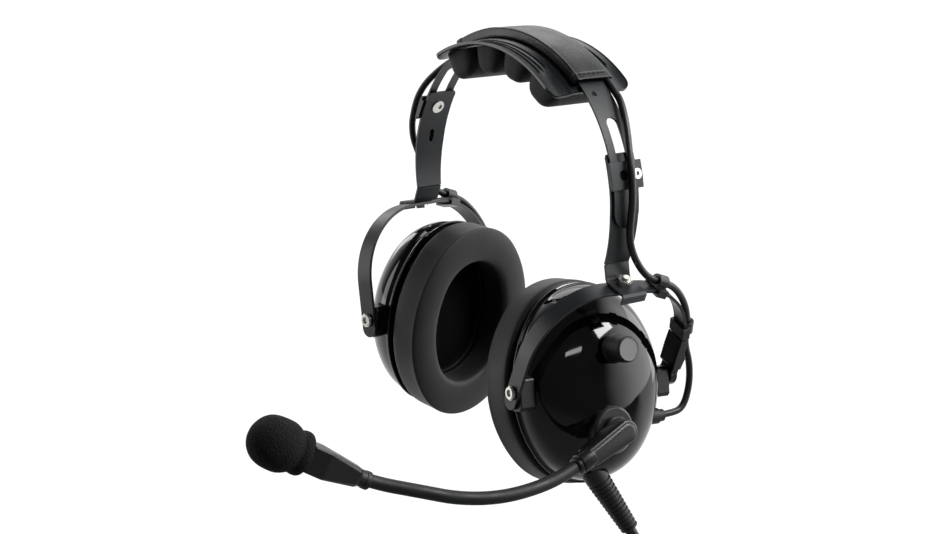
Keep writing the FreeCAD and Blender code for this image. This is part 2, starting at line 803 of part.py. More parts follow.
def cup_shell(side):
    back = size("cup_back")
    flange = size("rim_flange")
    outside = outer_dome()
    rim = oval_slab(back - flange, back, size("cup_half_width") + flange, size("cup_half_height") + flange)
    front_lug = pivot_lug(size("front_lug_top"), size("front_lug_drop")).mirror(Vector(), Y_AXIS)
    rear_lug = pivot_lug(size("rear_lug_top"), size("rear_lug_drop"))
    shell = outside.fuse([rim, flipped(front_lug, side), flipped(rear_lug, side)])
    wall = size("cup_wall")
    hollow = oval_slab(back - flange, back, size("cup_half_width") - wall, size("cup_half_height") - wall)
    shell = shell.cut(hollow).cut(inner_dome())
    lead = size("lead_width") / 2 + 1.4 + size("fit_gap")
    shell = shell.cut(flipped(Part.makeCylinder(lead, 14, LEAD_HOLE - Y_AXIS * 6, Y_AXIS), side))
    if side == "left":
        bush = size("bush_width") / 2 + size("fit_gap")
        shell = shell.cut(Part.makeCylinder(bush, 20, knob_axis(10), X_AXIS))
        spigot = size("spigot_width") / 2 + size("fit_gap")
        shell = shell.cut(Part.makeCylinder(spigot, 20, boom_axis(8), X_AXIS))
        relief = size("relief_width") / 2 - 1.9
        shell = shell.cut(Part.makeCylinder(relief, 16, RELIEF_START - RELIEF_WAY * 8, RELIEF_WAY))
    return shell.removeSplitter()


def knob_axis(x):
    return Vector(x, size("knob_across"), size("knob_height"))


def boom_axis(x):
    return Vector(x, size("boom_across"), size("boom_height"))


def baffle_plate():
    """Closes the back of the shell and carries the cushion, with an opening for the ear."""
    start = size("cup_back") - size("rim_flange")
    inset = size("plate_inset")
    wide = size("cup_half_width") - inset
    high = size("cup_half_height") - inset
    plate = oval_slab(start - size("plate_thickness"), start, wide, high)
    hole = oval_slab(start - 10, start + 10, size("seal_hole_half_width"), size("seal_hole_half_height"), 0.9)
    return plate.cut(hole)


SEAL_BACK = size("cup_back") - size("rim_flange") - size("plate_thickness")


def ear_seal():
    """A ring cushion with a crowned face and sides drawn in at the back."""
    wide = size("seal_half_width")
    high = size("seal_half_height")
    deep = size("seal_thickness")
    outside = [
        (SEAL_BACK, wide - 2.4, high - 2.4),
        (SEAL_BACK - 0.10 * deep, wide - 0.7, high - 0.7),
        (SEAL_BACK - 0.35 * deep, wide, high),
        (SEAL_BACK - 0.70 * deep, wide - 0.5, high - 0.5),
        (SEAL_BACK - 0.90 * deep, wide - 2.6, high - 2.6),
        (SEAL_BACK - 0.98 * deep, wide - 6.0, high - 6.0),
        (SEAL_BACK - deep, wide - 11.0, high - 11.0),
    ]
    hole_wide = size("seal_hole_half_width")
    hole_high = size("seal_hole_half_height")
    inside = [
        (SEAL_BACK + 1, hole_wide + 1.0, hole_high + 1.0, 0.9),
        (SEAL_BACK - 0.5 * deep, hole_wide, hole_high, 0.9),
        (SEAL_BACK - 0.85 * deep, hole_wide + 1.2, hole_high + 1.2, 0.9),
        (SEAL_BACK - deep - 1, hole_wide + 4.5, hole_high + 4.5, 0.9),
    ]
    return oval_loft(outside, True).cut(oval_loft(inside, True))


def ear_foam():
    """The thin foam pad behind the ear opening, in front of the loudspeaker."""
    start = size("cup_back") - size("rim_flange")
    spare = 4.0
    wide = size("seal_hole_half_width") + spare
    high = size("seal_hole_half_height") + spare
    return oval_slab(start, start + size("ear_foam_thickness"), wide, high, 0.9)


def speaker(name):
    """The loudspeaker: a wide rim, a cone basket and a magnet."""
    corners = (
        ("0", "0"),
        ("Sizes.speaker_width / 2", "0"),
        ("Sizes.speaker_width / 2", "2"),
        ("Sizes.speaker_width / 2 - 3", "3.5"),
        ("Sizes.speaker_width / 3.2", "3.5"),
        ("Sizes.speaker_width / 3.2", "Sizes.speaker_depth"),
        ("0", "Sizes.speaker_depth"),
    )
    return turned_body(name, corners)


def pivot_screw(name):
    """Shouldered screw: its shank runs in the yoke's end and its head has a round recess."""
    corners = (
        ("0", "-6"),
        ("Sizes.pivot_screw_width / 2", "-6"),
        ("Sizes.pivot_screw_width / 2", "Sizes.strap_thickness + 2 * Sizes.slide_gap"),
        ("Sizes.pivot_head_width / 2", "Sizes.strap_thickness + 2 * Sizes.slide_gap"),
        ("Sizes.pivot_head_width / 2", "Sizes.strap_thickness + 2 * Sizes.slide_gap + 1.2"),
        ("Sizes.pivot_head_width / 2 - 0.6", "Sizes.strap_thickness + 2 * Sizes.slide_gap + 1.8"),
        ("Sizes.pivot_head_width / 4", "Sizes.strap_thickness + 2 * Sizes.slide_gap + 1.8"),
        ("Sizes.pivot_head_width / 4", "Sizes.strap_thickness + 2 * Sizes.slide_gap + 0.8"),
        ("0", "Sizes.strap_thickness + 2 * Sizes.slide_gap + 0.8"),
    )
    return turned_body(name, corners)


def lead_grommet():
    """A rubber bush where the lead enters the shell, with a flange against the outside."""
    neck = size("lead_width") / 2 + 1.4
    bore = size("lead_width") / 2 + size("lead_play")
    outside = Part.makeCylinder(neck + 0.9, 7.6, LEAD_HOLE, Y_AXIS)
    collar = Part.makeCylinder(neck, 11, LEAD_HOLE, Y_AXIS)
    inside = Part.makeCylinder(neck, 7, LEAD_HOLE - Y_AXIS * 1.5, Y_AXIS)
    bush = outside.fuse(collar).cut(outer_dome()).fuse(inside)
    return bush.cut(Part.makeCylinder(bore, 30, LEAD_HOLE - Y_AXIS * 10, Y_AXIS))


screw_pattern = pivot_screw("PivotScrewPattern")
document.recompute()


def pivot_screws():
    screws = []
    for sign in (-1, 1):
        screw = screw_pattern.Shape.copy()
        screw.Placement = along(Y_AXIS * sign, Vector(0, sign * LUG_FACE, 0))
        screws.append(screw)
    return Part.makeCompound(screws)


for side in SIDES:
    place = cup_frame(side)
    shaped(side + "_cup_shell", cup_shell(side), place)
    shaped(side + "_baffle_plate", baffle_plate(), place)
    shaped(side + "_ear_seal", ear_seal(), place)
    shaped(side + "_ear_foam", ear_foam(), place)
    speaker_seat = size("cup_back") - size("rim_flange") + size("ear_foam_thickness")
    seat = place * along(X_AXIS, Vector(speaker_seat, 0, 0))
    keep(speaker(side.title() + "Speaker"), side + "_speaker", seat)
    shaped(side + "_pivot_screws", pivot_screws(), place)
    shaped(side + "_lead_grommet", flipped(lead_grommet(), side), place)

LEFT_CUP = cup_frame("left")

# Volume control: the resistor inside the cup, its shaft and the knob
CONTROL_FRONT = 15.2
control = turned_body(
    "VolumeControl",
    (
        ("Sizes.shaft_width / 2 + Sizes.fit_gap", "-Sizes.control_depth"),
        ("Sizes.control_width / 2", "-Sizes.control_depth"),
        ("Sizes.control_width / 2", "-0.8"),
        ("Sizes.control_width / 2 - 0.8", "0"),
        ("Sizes.bush_width / 2", "0"),
        ("Sizes.bush_width / 2", "6.6"),
        ("Sizes.shaft_width / 2 + Sizes.fit_gap", "6.6"),
    ),
)
keep(control, "volume_control", LEFT_CUP * along(X_AXIS, knob_axis(CONTROL_FRONT)))
shaft = turned_body(
    "VolumeShaft",
    (
        ("0", "-Sizes.control_depth"),
        ("Sizes.shaft_width / 2", "-Sizes.control_depth"),
        ("Sizes.shaft_width / 2", "16"),
        ("0", "16"),
    ),
)
keep(shaft, "volume_shaft", LEFT_CUP * along(X_AXIS, knob_axis(CONTROL_FRONT)))
KNOB_FOOT = 22.4
knob = turned_body(
    "VolumeKnob",
    (
        ("Sizes.shaft_width / 2 + Sizes.fit_gap", "0"),
        ("Sizes.knob_width / 2 - 0.5", "0"),
        ("Sizes.knob_width / 2", "1"),
        ("Sizes.knob_width / 2 - 0.25", "Sizes.knob_length - Sizes.knob_bevel"),
        ("Sizes.knob_width / 2 - 0.25 - Sizes.knob_bevel", "Sizes.knob_length"),
        ("0", "Sizes.knob_length"),
        ("0", "Sizes.knob_length - 3"),
        ("Sizes.shaft_width / 2 + Sizes.fit_gap", "Sizes.knob_length - 3"),
    ),
)
keep(knob, "volume_knob", LEFT_CUP * along(X_AXIS, knob_axis(KNOB_FOOT)))


# Boom: a boss on the shell, a turning knuckle and a flexible tube
def boom_boss():
    radius = size("boss_width") / 2
    boss = Part.makeCylinder(radius, size("boss_face") - 8, boom_axis(8), X_AXIS)
    rim = max(boss.Edges, key=lambda edge: edge.BoundBox.XMin)
    boss = boss.makeChamfer(1.2, [rim])
    bore = Part.makeCylinder(size("spigot_width") / 2 + size("fit_gap"), 30, boom_axis(0), X_AXIS)
    return boss.cut(outer_dome()).cut(bore)


shaped("boom_boss", boom_boss(), LEFT_CUP)

droop = math.radians(size("boom_droop"))
BOOM_WAY = Vector(0, -math.cos(droop), -math.sin(droop))
KNUCKLE_BASE = size("boss_face") + size("slide_gap")
BOOM_RISE = size("knuckle_neck") + size("knuckle_thickness") / 2 + 0.3
SPIGOT_END = 12.0


def boom_knuckle():
    """A round-ended bar on a neck, tapered to its collar, with the spigot that turns in the boss."""
    wide = size("knuckle_width") / 2
    neck = size("knuckle_neck")
    thick = size("knuckle_thickness")
    reach = size("knuckle_reach")
    end = Part.makeCylinder(wide, thick, Vector(0, 0, neck))
    outline = ((0, -wide), (reach, -wide * 0.8), (reach, wide * 0.8), (0, wide))
    corners = [Vector(x, y, neck) for x, y in outline]
    bar = Part.Face(Part.makePolygon(corners + corners[:1])).extrude(Vector(0, 0, thick))
    body = end.fuse(bar).removeSplitter()
    tops = [edge for edge in body.Edges if edge.BoundBox.ZMin > neck + thick - 0.01]
    body = body.makeChamfer(1.4, tops)
    collar = Part.makeCylinder(wide * 0.86, 5.0, Vector(reach, 0, BOOM_RISE), X_AXIS)
    step = Part.makeCylinder(wide * 0.74, 2.2, Vector(reach + 5.0, 0, BOOM_RISE), X_AXIS)
    tube = size("boom_width") / 2 + size("fit_gap")
    bore = Part.makeCylinder(tube, 30, Vector(reach - 4, 0, BOOM_RISE), X_AXIS)
    foot = Part.makeCylinder(wide + 1, neck + 0.5)
    spigot_down = KNUCKLE_BASE - SPIGOT_END
    spigot = Part.makeCylinder(size("spigot_width") / 2, spigot_down, Vector(0, 0, -spigot_down))
    return body.fuse([collar, step]).cut(bore).fuse([foot, spigot]).removeSplitter()


knuckle_place = Placement(boom_axis(KNUCKLE_BASE), Rotation(BOOM_WAY, X_AXIS.cross(BOOM_WAY), X_AXIS, "ZXY"))
shaped("boom_knuckle", boom_knuckle(), LEFT_CUP * knuckle_place)
retainer = turned_body(
    "BoomRetainer",
    (
        ("Sizes.spigot_width / 2 + Sizes.fit_gap", "0"),
        ("Sizes.spigot_width / 2 + 2.4", "0"),
        ("Sizes.spigot_width / 2 + 2.4", "1.8"),
        ("Sizes.spigot_width / 2 + Sizes.fit_gap", "1.8"),
    ),
)
keep(retainer, "boom_retainer", LEFT_CUP * along(X_AXIS, boom_axis(SPIGOT_END + 0.2)))


def biarc(start, start_way, end, end_way):
    """Two tangent arcs between two points with given directions."""
    span = end - start
    ways = start_way + end_way
    pull = span.dot(ways)
    spread = 2 * (1 - start_way.dot(end_way))
    reach = (math.sqrt(pull**2 + spread * span.dot(span)) - pull) / spread
    joint = (start + start_way * reach + end - end_way * reach) * 0.5
    return [tangent_arc(start, start_way, joint), tangent_arc(end, -end_way, joint, True)]


def tangent_arc(start, way, end, backward=False):
    """The arc that leaves a point along a direction and reaches another, drawn either way round."""
    chord = end - start
    along_chord = chord * (1 / chord.Length)
    side = way - along_chord * way.dot(along_chord)
    bulge = chord.Length / 2 * math.tan(way.getAngle(chord) / 2)
    middle = (start + end) * 0.5 + side.normalize() * bulge
    if backward:
        return Part.Arc(end, middle, start).toShape()
    return Part.Arc(start, middle, end).toShape()


# The boom tube's route, in the left cup's frame. Only its middle stretch bends at the flex joint.
MIC_END = Vector(13.4, -144.0, -27.7)
MIC_WAY = Vector(-0.056, -0.891, 0.451).normalize()
BOOM_ROUTE = [
    boom_axis(KNUCKLE_BASE + BOOM_RISE) + BOOM_WAY * (size("knuckle_reach") - 3),
    boom_axis(KNUCKLE_BASE + BOOM_RISE) + BOOM_WAY * 38.5,
    Vector(32.2, -56.5, -42.2),
    Vector(31.5, -78.0, -44.4),
    Vector(27.3, -98.5, -42.6),
    Vector(22.0, -116.5, -37.2),
    MIC_END - MIC_WAY * 8,
    MIC_END + MIC_WAY * 3,
]
BOOM_CUTS = (("gooseneck_root", 0, 5), ("gooseneck_bend", 5, 9), ("gooseneck_tip", 9, 13))
boom_edges = rounded_path(BOOM_ROUTE, "gooseneck").OrderedEdges
for name, first, last in BOOM_CUTS:
    shaped(name, tube_along(Part.Wire(boom_edges[first:last]), size("boom_width"), name), LEFT_CUP)


# Microphone: its own frame starts at the boom's end, with X along the microphone
MIC_PLACE = LEFT_CUP * Placement(MIC_END, Rotation(MIC_WAY, Vector(), Vector(0.25, 0.4, 1), "XZY"))
HOUSING_LENGTH = 28.5


def chamfered_box_outline(x, half_width, half_height, bevel):
    """An eight-cornered outline at that distance along the microphone."""
    w = half_width
    h = half_height
    marks = ((w - bevel, -h), (w, -h + bevel), (w, h - bevel), (w - bevel, h))
    right = [Vector(x, across, up) for across, up in marks]
    left = [Vector(x, -across, up) for across, up in reversed(marks)]
    return Part.makePolygon(right + left + right[:1])


def mic_housing():
    """A block that tapers down to the ferrule on the boom, open at the front for the capsule."""
    shoulder = HOUSING_LENGTH - 9
    rows = (
        (0.0, 4.3, 4.1, 1.6), (1.5, 4.9, 4.7, 1.7),
        (shoulder, 8.2, 6.7, 0.9), (HOUSING_LENGTH, 7.8, 6.5, 0.5),
    )
    housing = Part.makeLoft([chamfered_box_outline(*row) for row in rows], True, True)
    bore = Part.makeCylinder(size("boom_width") / 2 + size("fit_gap"), 30, Vector(-20, 0, 0), X_AXIS)
    radius = size("capsule_width") / 2 + size("fit_gap")
    pocket = Part.makeCylinder(radius, 14, Vector(HOUSING_LENGTH - 4, 0, 0), X_AXIS)
    return housing.cut(bore).cut(pocket)


shaped("mic_housing", mic_housing(), MIC_PLACE)
ferrule = turned_body(
    "MicFerrule",
    (
        ("Sizes.boom_width / 2 + 2 * Sizes.lead_play", "-6"),
        ("4.2", "-6"),
        ("4.4", "-5.6"),
        ("4.4", "-3.4"),
        ("4.1", "-3.2"),
        ("4.1", "0"),
        ("Sizes.boom_width / 2 + 2 * Sizes.lead_play", "0"),
    ),
)
keep(ferrule, "mic_ferrule", MIC_PLACE * along(X_AXIS, Vector()))
capsule = turned_body(
    "MicCapsule",
    (
        ("0", "-4"),
        ("Sizes.capsule_width / 2", "-4"),
        ("Sizes.capsule_width / 2", "8"),
        ("Sizes.capsule_width / 2 - 1", "9"),
        ("2", "9"),
        ("2", "8"),
        ("0", "8"),
    ),
)
keep(capsule, "mic_capsule", MIC_PLACE * along(X_AXIS, Vector(HOUSING_LENGTH, 0, 0)))


def mic_muff():
    """A foam ball drawn out along the microphone, with a banded neck and a pocket for the capsule."""
    profile = (
        (0.2, 9.3), (1.2, 10.4), (4.1, 10.7), (5.8, 10.0), (9.0, 11.6), (14.4, 12.5),
        (19.8, 12.1), (24.3, 10.0), (27.5, 6.6), (29.2, 2.6), (29.4, 0.0),
    )
    swell = size("muff_width") / 25
    points = [Vector(HOUSING_LENGTH + x, radius * swell, 0) for x, radius in profile]
    side_curve = Part.BSplineCurve()
    side_curve.interpolate(points)
    start = Vector(points[0].x, 0, 0)
    edges = [
        Part.LineSegment(start, points[0]).toShape(),
        side_curve.toShape(),
        Part.LineSegment(points[-1], start).toShape(),
    ]
    muff = Part.Face(Part.Wire(edges)).revolve(start, X_AXIS, 360)
    radius = size("capsule_width") / 2 + size("fit_gap")
    return muff.cut(Part.makeCylinder(radius, 12, Vector(HOUSING_LENGTH - 1, 0, 0), X_AXIS))


shaped("mic_muff", mic_muff(), MIC_PLACE)


# Lead that joins the two ears: inside the sleeve, over each clamp and round each yoke
LEAD_ACROSS = 9.9
LEAD_LIFT = 0.62
LEAD_SPREAD = 35.5


def sleeve_lead():
    radius = BAND_OUTSIDE + LEAD_LIFT
    start = on_arc(radius, 90 - LEAD_SPREAD, LEAD_ACROSS)
    crown = on_arc(radius, 90, LEAD_ACROSS)
    end = on_arc(radius, 90 + LEAD_SPREAD, LEAD_ACROSS)
    return tube_along(Part.Wire(Part.Arc(start, crown, end).toShape()), size("lead_width"), "lead_in_sleeve")


shaped("lead_in_sleeve", sleeve_lead())


def over_band(marks):
    """Points given as lift over the band's outside, angle about its arc, and distance to the rear."""
    return [on_arc(BAND_OUTSIDE + lift, angle, back) for lift, angle, back in marks]


def from_point(start, marks):
    """Points given as their distance outward, to the rear and up from a point in the arm's frame."""
    return [start + Vector(*mark) for mark in marks]


YOKE_CROWN = Vector(size("pivot_out"), 0, 0) + swivel_axis() * size("yoke_height")
YOKE_PIVOT = Vector(size("pivot_out"), 0, 0)
# The left lead lies on its clamp plate. The right one hangs out in a bow in front of its arm.
SLIDE_ROUTES = {
    "left": over_band((
        (0.62, 54.35, 9.9), (0.81, 50.19, 9.9), (3.38, 44.36, 8.2), (3.35, 34.46, 5.0),
        (3.88, 24.52, 1.4), (4.09, 17.37, 0.8), (3.55, 12.17, 0.4),
    )),
    "right": over_band((
        (0.62, 54.35, 9.9), (0.81, 50.19, 9.9), (4.0, 44.36, 7.8), (7.2, 34.46, 2.0),
        (9.8, 24.52, -3.4), (9.9, 16.0, -5.4), (8.7, 9.6, -5.2),
    )),
}
FOOT_ROUTES = {
    "left": over_band(((3.55, 12.10, 0.4), (3.59, 9.34, 0.2), (2.79, 3.86, 0.0), (2.03, -3.18, 1.0))),
    "right": over_band(((8.63, 9.4, -5.2), (7.7, 5.4, -5.0), (4.6, -0.2, -3.0), (2.4, -6.0, 0.6))),
}
CROWN_MARKS = ((0.18, 4.4, 16.68), (1.98, 9.2, 8.78), (2.98, 14.6, 3.88), (3.08, 18.3, 2.58))
YOKE_ROUTE = from_point(YOKE_CROWN, (
    (3.08, 18.4, 2.58), (3.28, 24.6, 0.38), (3.18, 33.4, -3.82),
    (1.58, 42.6, -13.22), (-0.72, 48.8, -24.62), (-3.12, 50.8, -33.82),
))
LOOP_ROUTES = {
    "left": from_point(YOKE_PIVOT, (
        (11.0, 53.3, 14.2), (11.6, 57.2, 4.6), (13.4, 57.0, -7.2),
        (14.8, 52.6, -18.4), (14.0, 44.0, -20.2), (12.5, 31.1, -19.8),
    )),
    "right": from_point(YOKE_PIVOT, (
        (10.9, 53.3, 13.2), (10.6, 57.2, 3.6), (10.2, 57.2, -8.2),
        (9.2, 52.8, -19.4), (8.3, 44.6, -22.0), (6.8, 31.7, -21.6),
    )),
}


def lead_piece(side, name, route):
    points = [Vector(point.x, rear(side) * point.y, point.z) for point in route]
    shaped(f"{side}_{name}", free_tube(points, size("lead_width"), f"{side} {name}"), arm_frame(side))


for side in SIDES:
    lead_piece(side, "lead_slide_span", SLIDE_ROUTES[side])
    lead_piece(side, "lead_foot_span", FOOT_ROUTES[side] + from_point(YOKE_CROWN, CROWN_MARKS))
    lead_piece(side, "lead_cup_span", YOKE_ROUTE + LOOP_ROUTES[side])


# Strain relief under the left cup
def strain_relief():
    """A ribbed rubber taper: each rib is a ruled loft through four circles."""
    ribs = int(size("relief_ribs"))
    length = size("relief_length")
    wide = size("relief_width") / 2
    narrow = wide * 0.76
    plain = 5.0
    pitch = (length - plain) / ribs
    rings = [(-4.0, wide), (plain, wide)]
    for number in range(ribs):
        start = plain + number * pitch
        radius = wide + (narrow - wide) * number / (ribs - 1)
        rings += [
            (start + 0.12 * pitch, radius - 0.75),
            (start + 0.45 * pitch, radius - 0.75),
            (start + 0.55 * pitch, radius),
            (start + 0.98 * pitch, radius),
        ]
    wires = [ring_of(Vector(0, 0, at), Z_AXIS, radius) for at, radius in rings]
    relief = Part.makeLoft(wires, True, True)
    neck = Part.makeCylinder(wide - 1.95, 6, Vector(0, 0, -5))
    bore = Part.makeCylinder(size("cord_width") / 2 + size("lead_play"), length + 20, Vector(0, 0, -10))
    at = along(RELIEF_WAY, RELIEF_START)
    relief.Placement = at
    neck.Placement = at
    bore.Placement = at
    return relief.cut(outer_dome()).fuse(neck).cut(bore)


shaped("strain_relief", strain_relief(), LEFT_CUP)


# Main cord: it hangs from the strain relief into a tied coil under the left ear
CORD = size("cord_width")
COIL_MIDDLE = Vector(97.0, 10.0, -145.0)
COIL_RADIUS = size("coil_inner_radius") + size("coil_pitch") * size("coil_turns_per_layer")
COIL_TURN = 360 * size("coil_turns_per_layer")
COIL_ENTRY = 45.0
EXIT_RUN = 23.0


def coil_point(angle):
    """A point of the coil's centreline after that much turning. The layers change in the middle half turn."""
    pitch = size("coil_pitch")
    radius = size("coil_inner_radius") + pitch * abs(angle - COIL_TURN) / 360
    layer = min(max((angle - COIL_TURN) / 180 + 0.5, 0), 1)
    turn = math.radians(COIL_ENTRY - angle)
    return COIL_MIDDLE + Vector(-pitch * layer, radius * math.cos(turn), radius * math.sin(turn))


def coil_way(angle):
    """The direction of the centreline."""
    step = 0.01
    return (coil_point(angle + step) - coil_point(angle - step)).normalize()


def coil_path():
    quarter = 90
    edges = []
    marks = [coil_point(number * quarter) for number in range(int(2 * COIL_TURN / quarter) + 1)]
    ways = [coil_way(number * quarter) for number in range(len(marks))]
    edges.append(Part.LineSegment(marks[0] - ways[0] * CORD, marks[0]).toShape())
    for number in range(len(marks) - 1):
        edges += biarc(marks[number], ways[number], marks[number + 1], ways[number + 1])
    edges.append(Part.LineSegment(marks[-1], marks[-1] + ways[-1] * EXIT_RUN).toShape())
    return Part.Wire(edges)


def least_gap(path, width):
    """The least gap between stretches of a path that are more than half a turn apart."""
    points = path.discretize(Number=900)
    step = path.Length / (len(points) - 1)
    apart = int(math.pi * size("coil_inner_radius") / step)
    least = min(
        point.distanceToPoint(other)
        for number, point in enumerate(points)
        for other in points[number + apart:]
    )
    return least - width


def cord_coil():
    path = coil_path()
    print(f"cord_coil: least gap to itself {least_gap(path, CORD):.2f} mm")
    return tube_along(path, CORD, "cord_coil")


shaped("cord_coil", cord_coil())

DROP_ROUTE = [
    Vector(79.6, -9.1, -38.5),
    Vector(96.5, 12.7, -76.6),
    Vector(97.0, 25.0, -97.7),
    coil_point(0) - coil_way(0) * (CORD + 0.1),
]
shaped("cord_drop", free_tube(DROP_ROUTE, CORD, "cord_drop"))


def strap_ring(corners, height, thickness):
    """A flat strap pulled round a bundle, whose outline is given through its corner centres."""
    reach = CORD / 2 + 0.3
    points = [Vector(x, y, 0) for x, y in corners]
    outline = Part.makePolygon(points + points[:1])
    inner = outline.makeOffset2D(reach)
    outer = outline.makeOffset2D(reach + thickness)
    ring = Part.Face(outer).cut(Part.Face(inner)).extrude(Vector(0, 0, height))
    ring.translate(Vector(0, 0, COIL_MIDDLE.z - height / 2))
    return ring


def cord_ties():
    """One strap round the back of the coil, and one round its front together with the two plugs."""
    near = COIL_MIDDLE.x
    far = near - size("coil_pitch")
    back = COIL_MIDDLE.y
    rear_strap = ((near, back + 22.5), (near, back + 43.2), (far, back + 43.2), (far, back + 22.5))
    front_strap = (
        (far, back - 25.2), (far - 1.2, back - 33.6), (far - 11.0, back - 46.3), (far - 16.9, back - 46.6),
        (far - 17.0, back - 52.0), (far + 1.0, back - 52.4), (near, back - 41.5), (near, back - 25.2),
    )
    return Part.makeCompound([strap_ring(rear_strap, 14, 1.6), strap_ring(front_strap, 14, 1.6)])


shaped("cord_ties", cord_ties())

SPLIT_AT = coil_point(2 * COIL_TURN) + coil_way(2 * COIL_TURN) * (EXIT_RUN - 2)
TAIL_SPACING = 2.9
split_body = turned_body(
    "SplitterBody",
    (
        ("Sizes.cord_width / 2 + Sizes.fit_gap", "0"),
        ("4.6", "0"),
        ("5.4", "2"),
        ("6.4", "18"),
        ("5.6", "22"),
        ("0", "22"),
        ("0", "2.2"),
        ("Sizes.cord_width / 2 + Sizes.fit_gap", "2.2"),
    ),
)
tail_holes = []
for sign in (-1, 1):
    hole = bound("Cylinder", "TailHole", Radius="Sizes.tail_width / 2 + Sizes.fit_gap")
    hole.Height = 8
    hole.Placement = Placement(Vector(sign * TAIL_SPACING, 0, 17), Rotation())
    tail_holes.append(hole)
splitter = cut_from("CordSplitter", split_body, joined("TailHoles", tail_holes))
split_turn = Rotation(X_AXIS, Vector(), coil_way(2 * COIL_TURN), "ZXY")
keep(splitter, "cord_splitter", Placement(SPLIT_AT, split_turn))

# Tails: from the splitter, under the coil and up to the plugs
TAIL_ROUTES = {
    "phone": (
        (93.5, 14.0, -203.8), (93.5, 3.3, -215.0), (93.0, -18.0, -219.0),
        (89.7, -36.0, -206.0), (89.0, -39.3, -184.0), (89.0, -39.3, -158.0),
    ),
    "mic": (
        (87.7, 14.0, -203.8), (87.7, 3.3, -215.0), (83.5, -18.0, -219.0),
        (77.2, -36.0, -206.0), (76.4, -39.3, -184.0), (76.4, -39.3, -158.0),
    ),
}
PLUG_FOOT = -163.0
PLUG_GRIPS = {"phone": 6.2, "mic": 5.9}
PLUG_REACHES = {"phone": 31.0, "mic": 28.0}


def plug(name, pin, grip, reach):
    """A two-part grip with a boot below and a pin with its ring grooves above."""
    corners = (
        ("Sizes.tail_width / 2 + Sizes.fit_gap", "0"),
        ("Sizes.tail_width / 2 + 1.4", "0"),
        (f"{grip} - 1.2", "5"),
        (f"{grip}", "7"),
        (f"{grip}", "32"),
        (f"{grip} - 0.8", "33"),
        (f"{grip} - 0.8", "34"),
        (f"Sizes.{pin} / 2", "34"),
        (f"Sizes.{pin} / 2", f"{34 + reach * 0.6}"),
        (f"Sizes.{pin} / 2 - 0.25", f"{34 + reach * 0.6 + 0.1}"),
        (f"Sizes.{pin} / 2 - 0.25", f"{34 + reach * 0.6 + 0.9}"),
        (f"Sizes.{pin} / 2", f"{34 + reach * 0.6 + 1.0}"),
        (f"Sizes.{pin} / 2", f"{34 + reach - 6}"),
        (f"Sizes.{pin} / 2 - 0.8", f"{34 + reach - 4.6}"),
        (f"Sizes.{pin} / 2", f"{34 + reach - 3}"),
        ("0.6", f"{34 + reach}"),
        ("0", f"{34 + reach}"),
        ("0", "6"),
        ("Sizes.tail_width / 2 + Sizes.fit_gap", "6"),
    )
    return turned_body(name, corners)


for kind, route in TAIL_ROUTES.items():
    points = [Vector(*point) for point in route]
    shaped(kind + "_tail", free_tube(points, size("tail_width"), kind + "_tail"))
    body = plug(kind.title() + "Plug", kind + "_plug_width", PLUG_GRIPS[kind], PLUG_REACHES[kind])
    keep(body, kind + "_plug", Placement(Vector(points[-1].x, points[-1].y, PLUG_FOOT), Rotation()))

# Build check and export
document.recompute()
for item in document.Objects:
    assert "Invalid" not in item.State and "Error" not in item.State, f"{item.Name}: {item.State}"
os.makedirs("parts", exist_ok=True)
for item in pieces:
    assert not item.Shape.isNull() and item.Shape.isValid(), f"{item.Label}: bad shape"
    item.Shape.exportStep(f"parts/{item.Label}.step")
print(f"{len(pieces)} sub-parts")
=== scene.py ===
# %% [markdown]
# # An aviation headset
# The headset is two ear cups in wire-thin steel yokes, hung from a sprung steel headband, with a
# microphone on a bendable boom and one cord that splits into two plugs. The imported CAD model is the
# frame of this scene: whatever is rigid and already right keeps its CAD shape and only gets a
# finish, and whatever is soft, glossy or wound is made here, on the same sizes and in the same place.

# %% Load the frame
import math

import bmesh
import bpy
from mathutils import Matrix, Vector, noise


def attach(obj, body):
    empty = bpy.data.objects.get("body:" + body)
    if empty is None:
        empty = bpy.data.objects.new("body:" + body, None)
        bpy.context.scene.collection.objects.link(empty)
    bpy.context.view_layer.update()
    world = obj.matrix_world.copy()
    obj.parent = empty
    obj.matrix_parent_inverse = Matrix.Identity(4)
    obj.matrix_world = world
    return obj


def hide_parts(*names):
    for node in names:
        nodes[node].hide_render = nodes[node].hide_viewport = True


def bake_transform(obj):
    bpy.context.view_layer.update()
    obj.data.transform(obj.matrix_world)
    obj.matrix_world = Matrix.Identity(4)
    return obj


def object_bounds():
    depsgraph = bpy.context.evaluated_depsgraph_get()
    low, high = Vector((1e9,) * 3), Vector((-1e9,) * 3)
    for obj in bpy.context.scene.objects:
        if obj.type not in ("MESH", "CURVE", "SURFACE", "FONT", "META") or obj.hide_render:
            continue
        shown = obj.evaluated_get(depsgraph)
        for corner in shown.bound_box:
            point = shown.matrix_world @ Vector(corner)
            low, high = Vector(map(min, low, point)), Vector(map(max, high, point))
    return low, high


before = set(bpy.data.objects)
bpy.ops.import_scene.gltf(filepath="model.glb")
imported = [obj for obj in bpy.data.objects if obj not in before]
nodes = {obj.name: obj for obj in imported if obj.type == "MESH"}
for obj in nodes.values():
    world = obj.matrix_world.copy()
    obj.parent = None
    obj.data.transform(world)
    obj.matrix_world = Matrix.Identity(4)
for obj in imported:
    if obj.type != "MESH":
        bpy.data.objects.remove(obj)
cad_box = [list(corner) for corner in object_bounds()]

# %% [markdown]
# ## Where things stand
# Sizes in this file are millimetres, as on a drawing, and one matrix turns them to Blender's metres.
# The arms, the yokes and the cups each have a frame of their own, because a cup tilts in its yoke
# and a yoke leans on its arm. The same three turns place every piece of the left and right side.

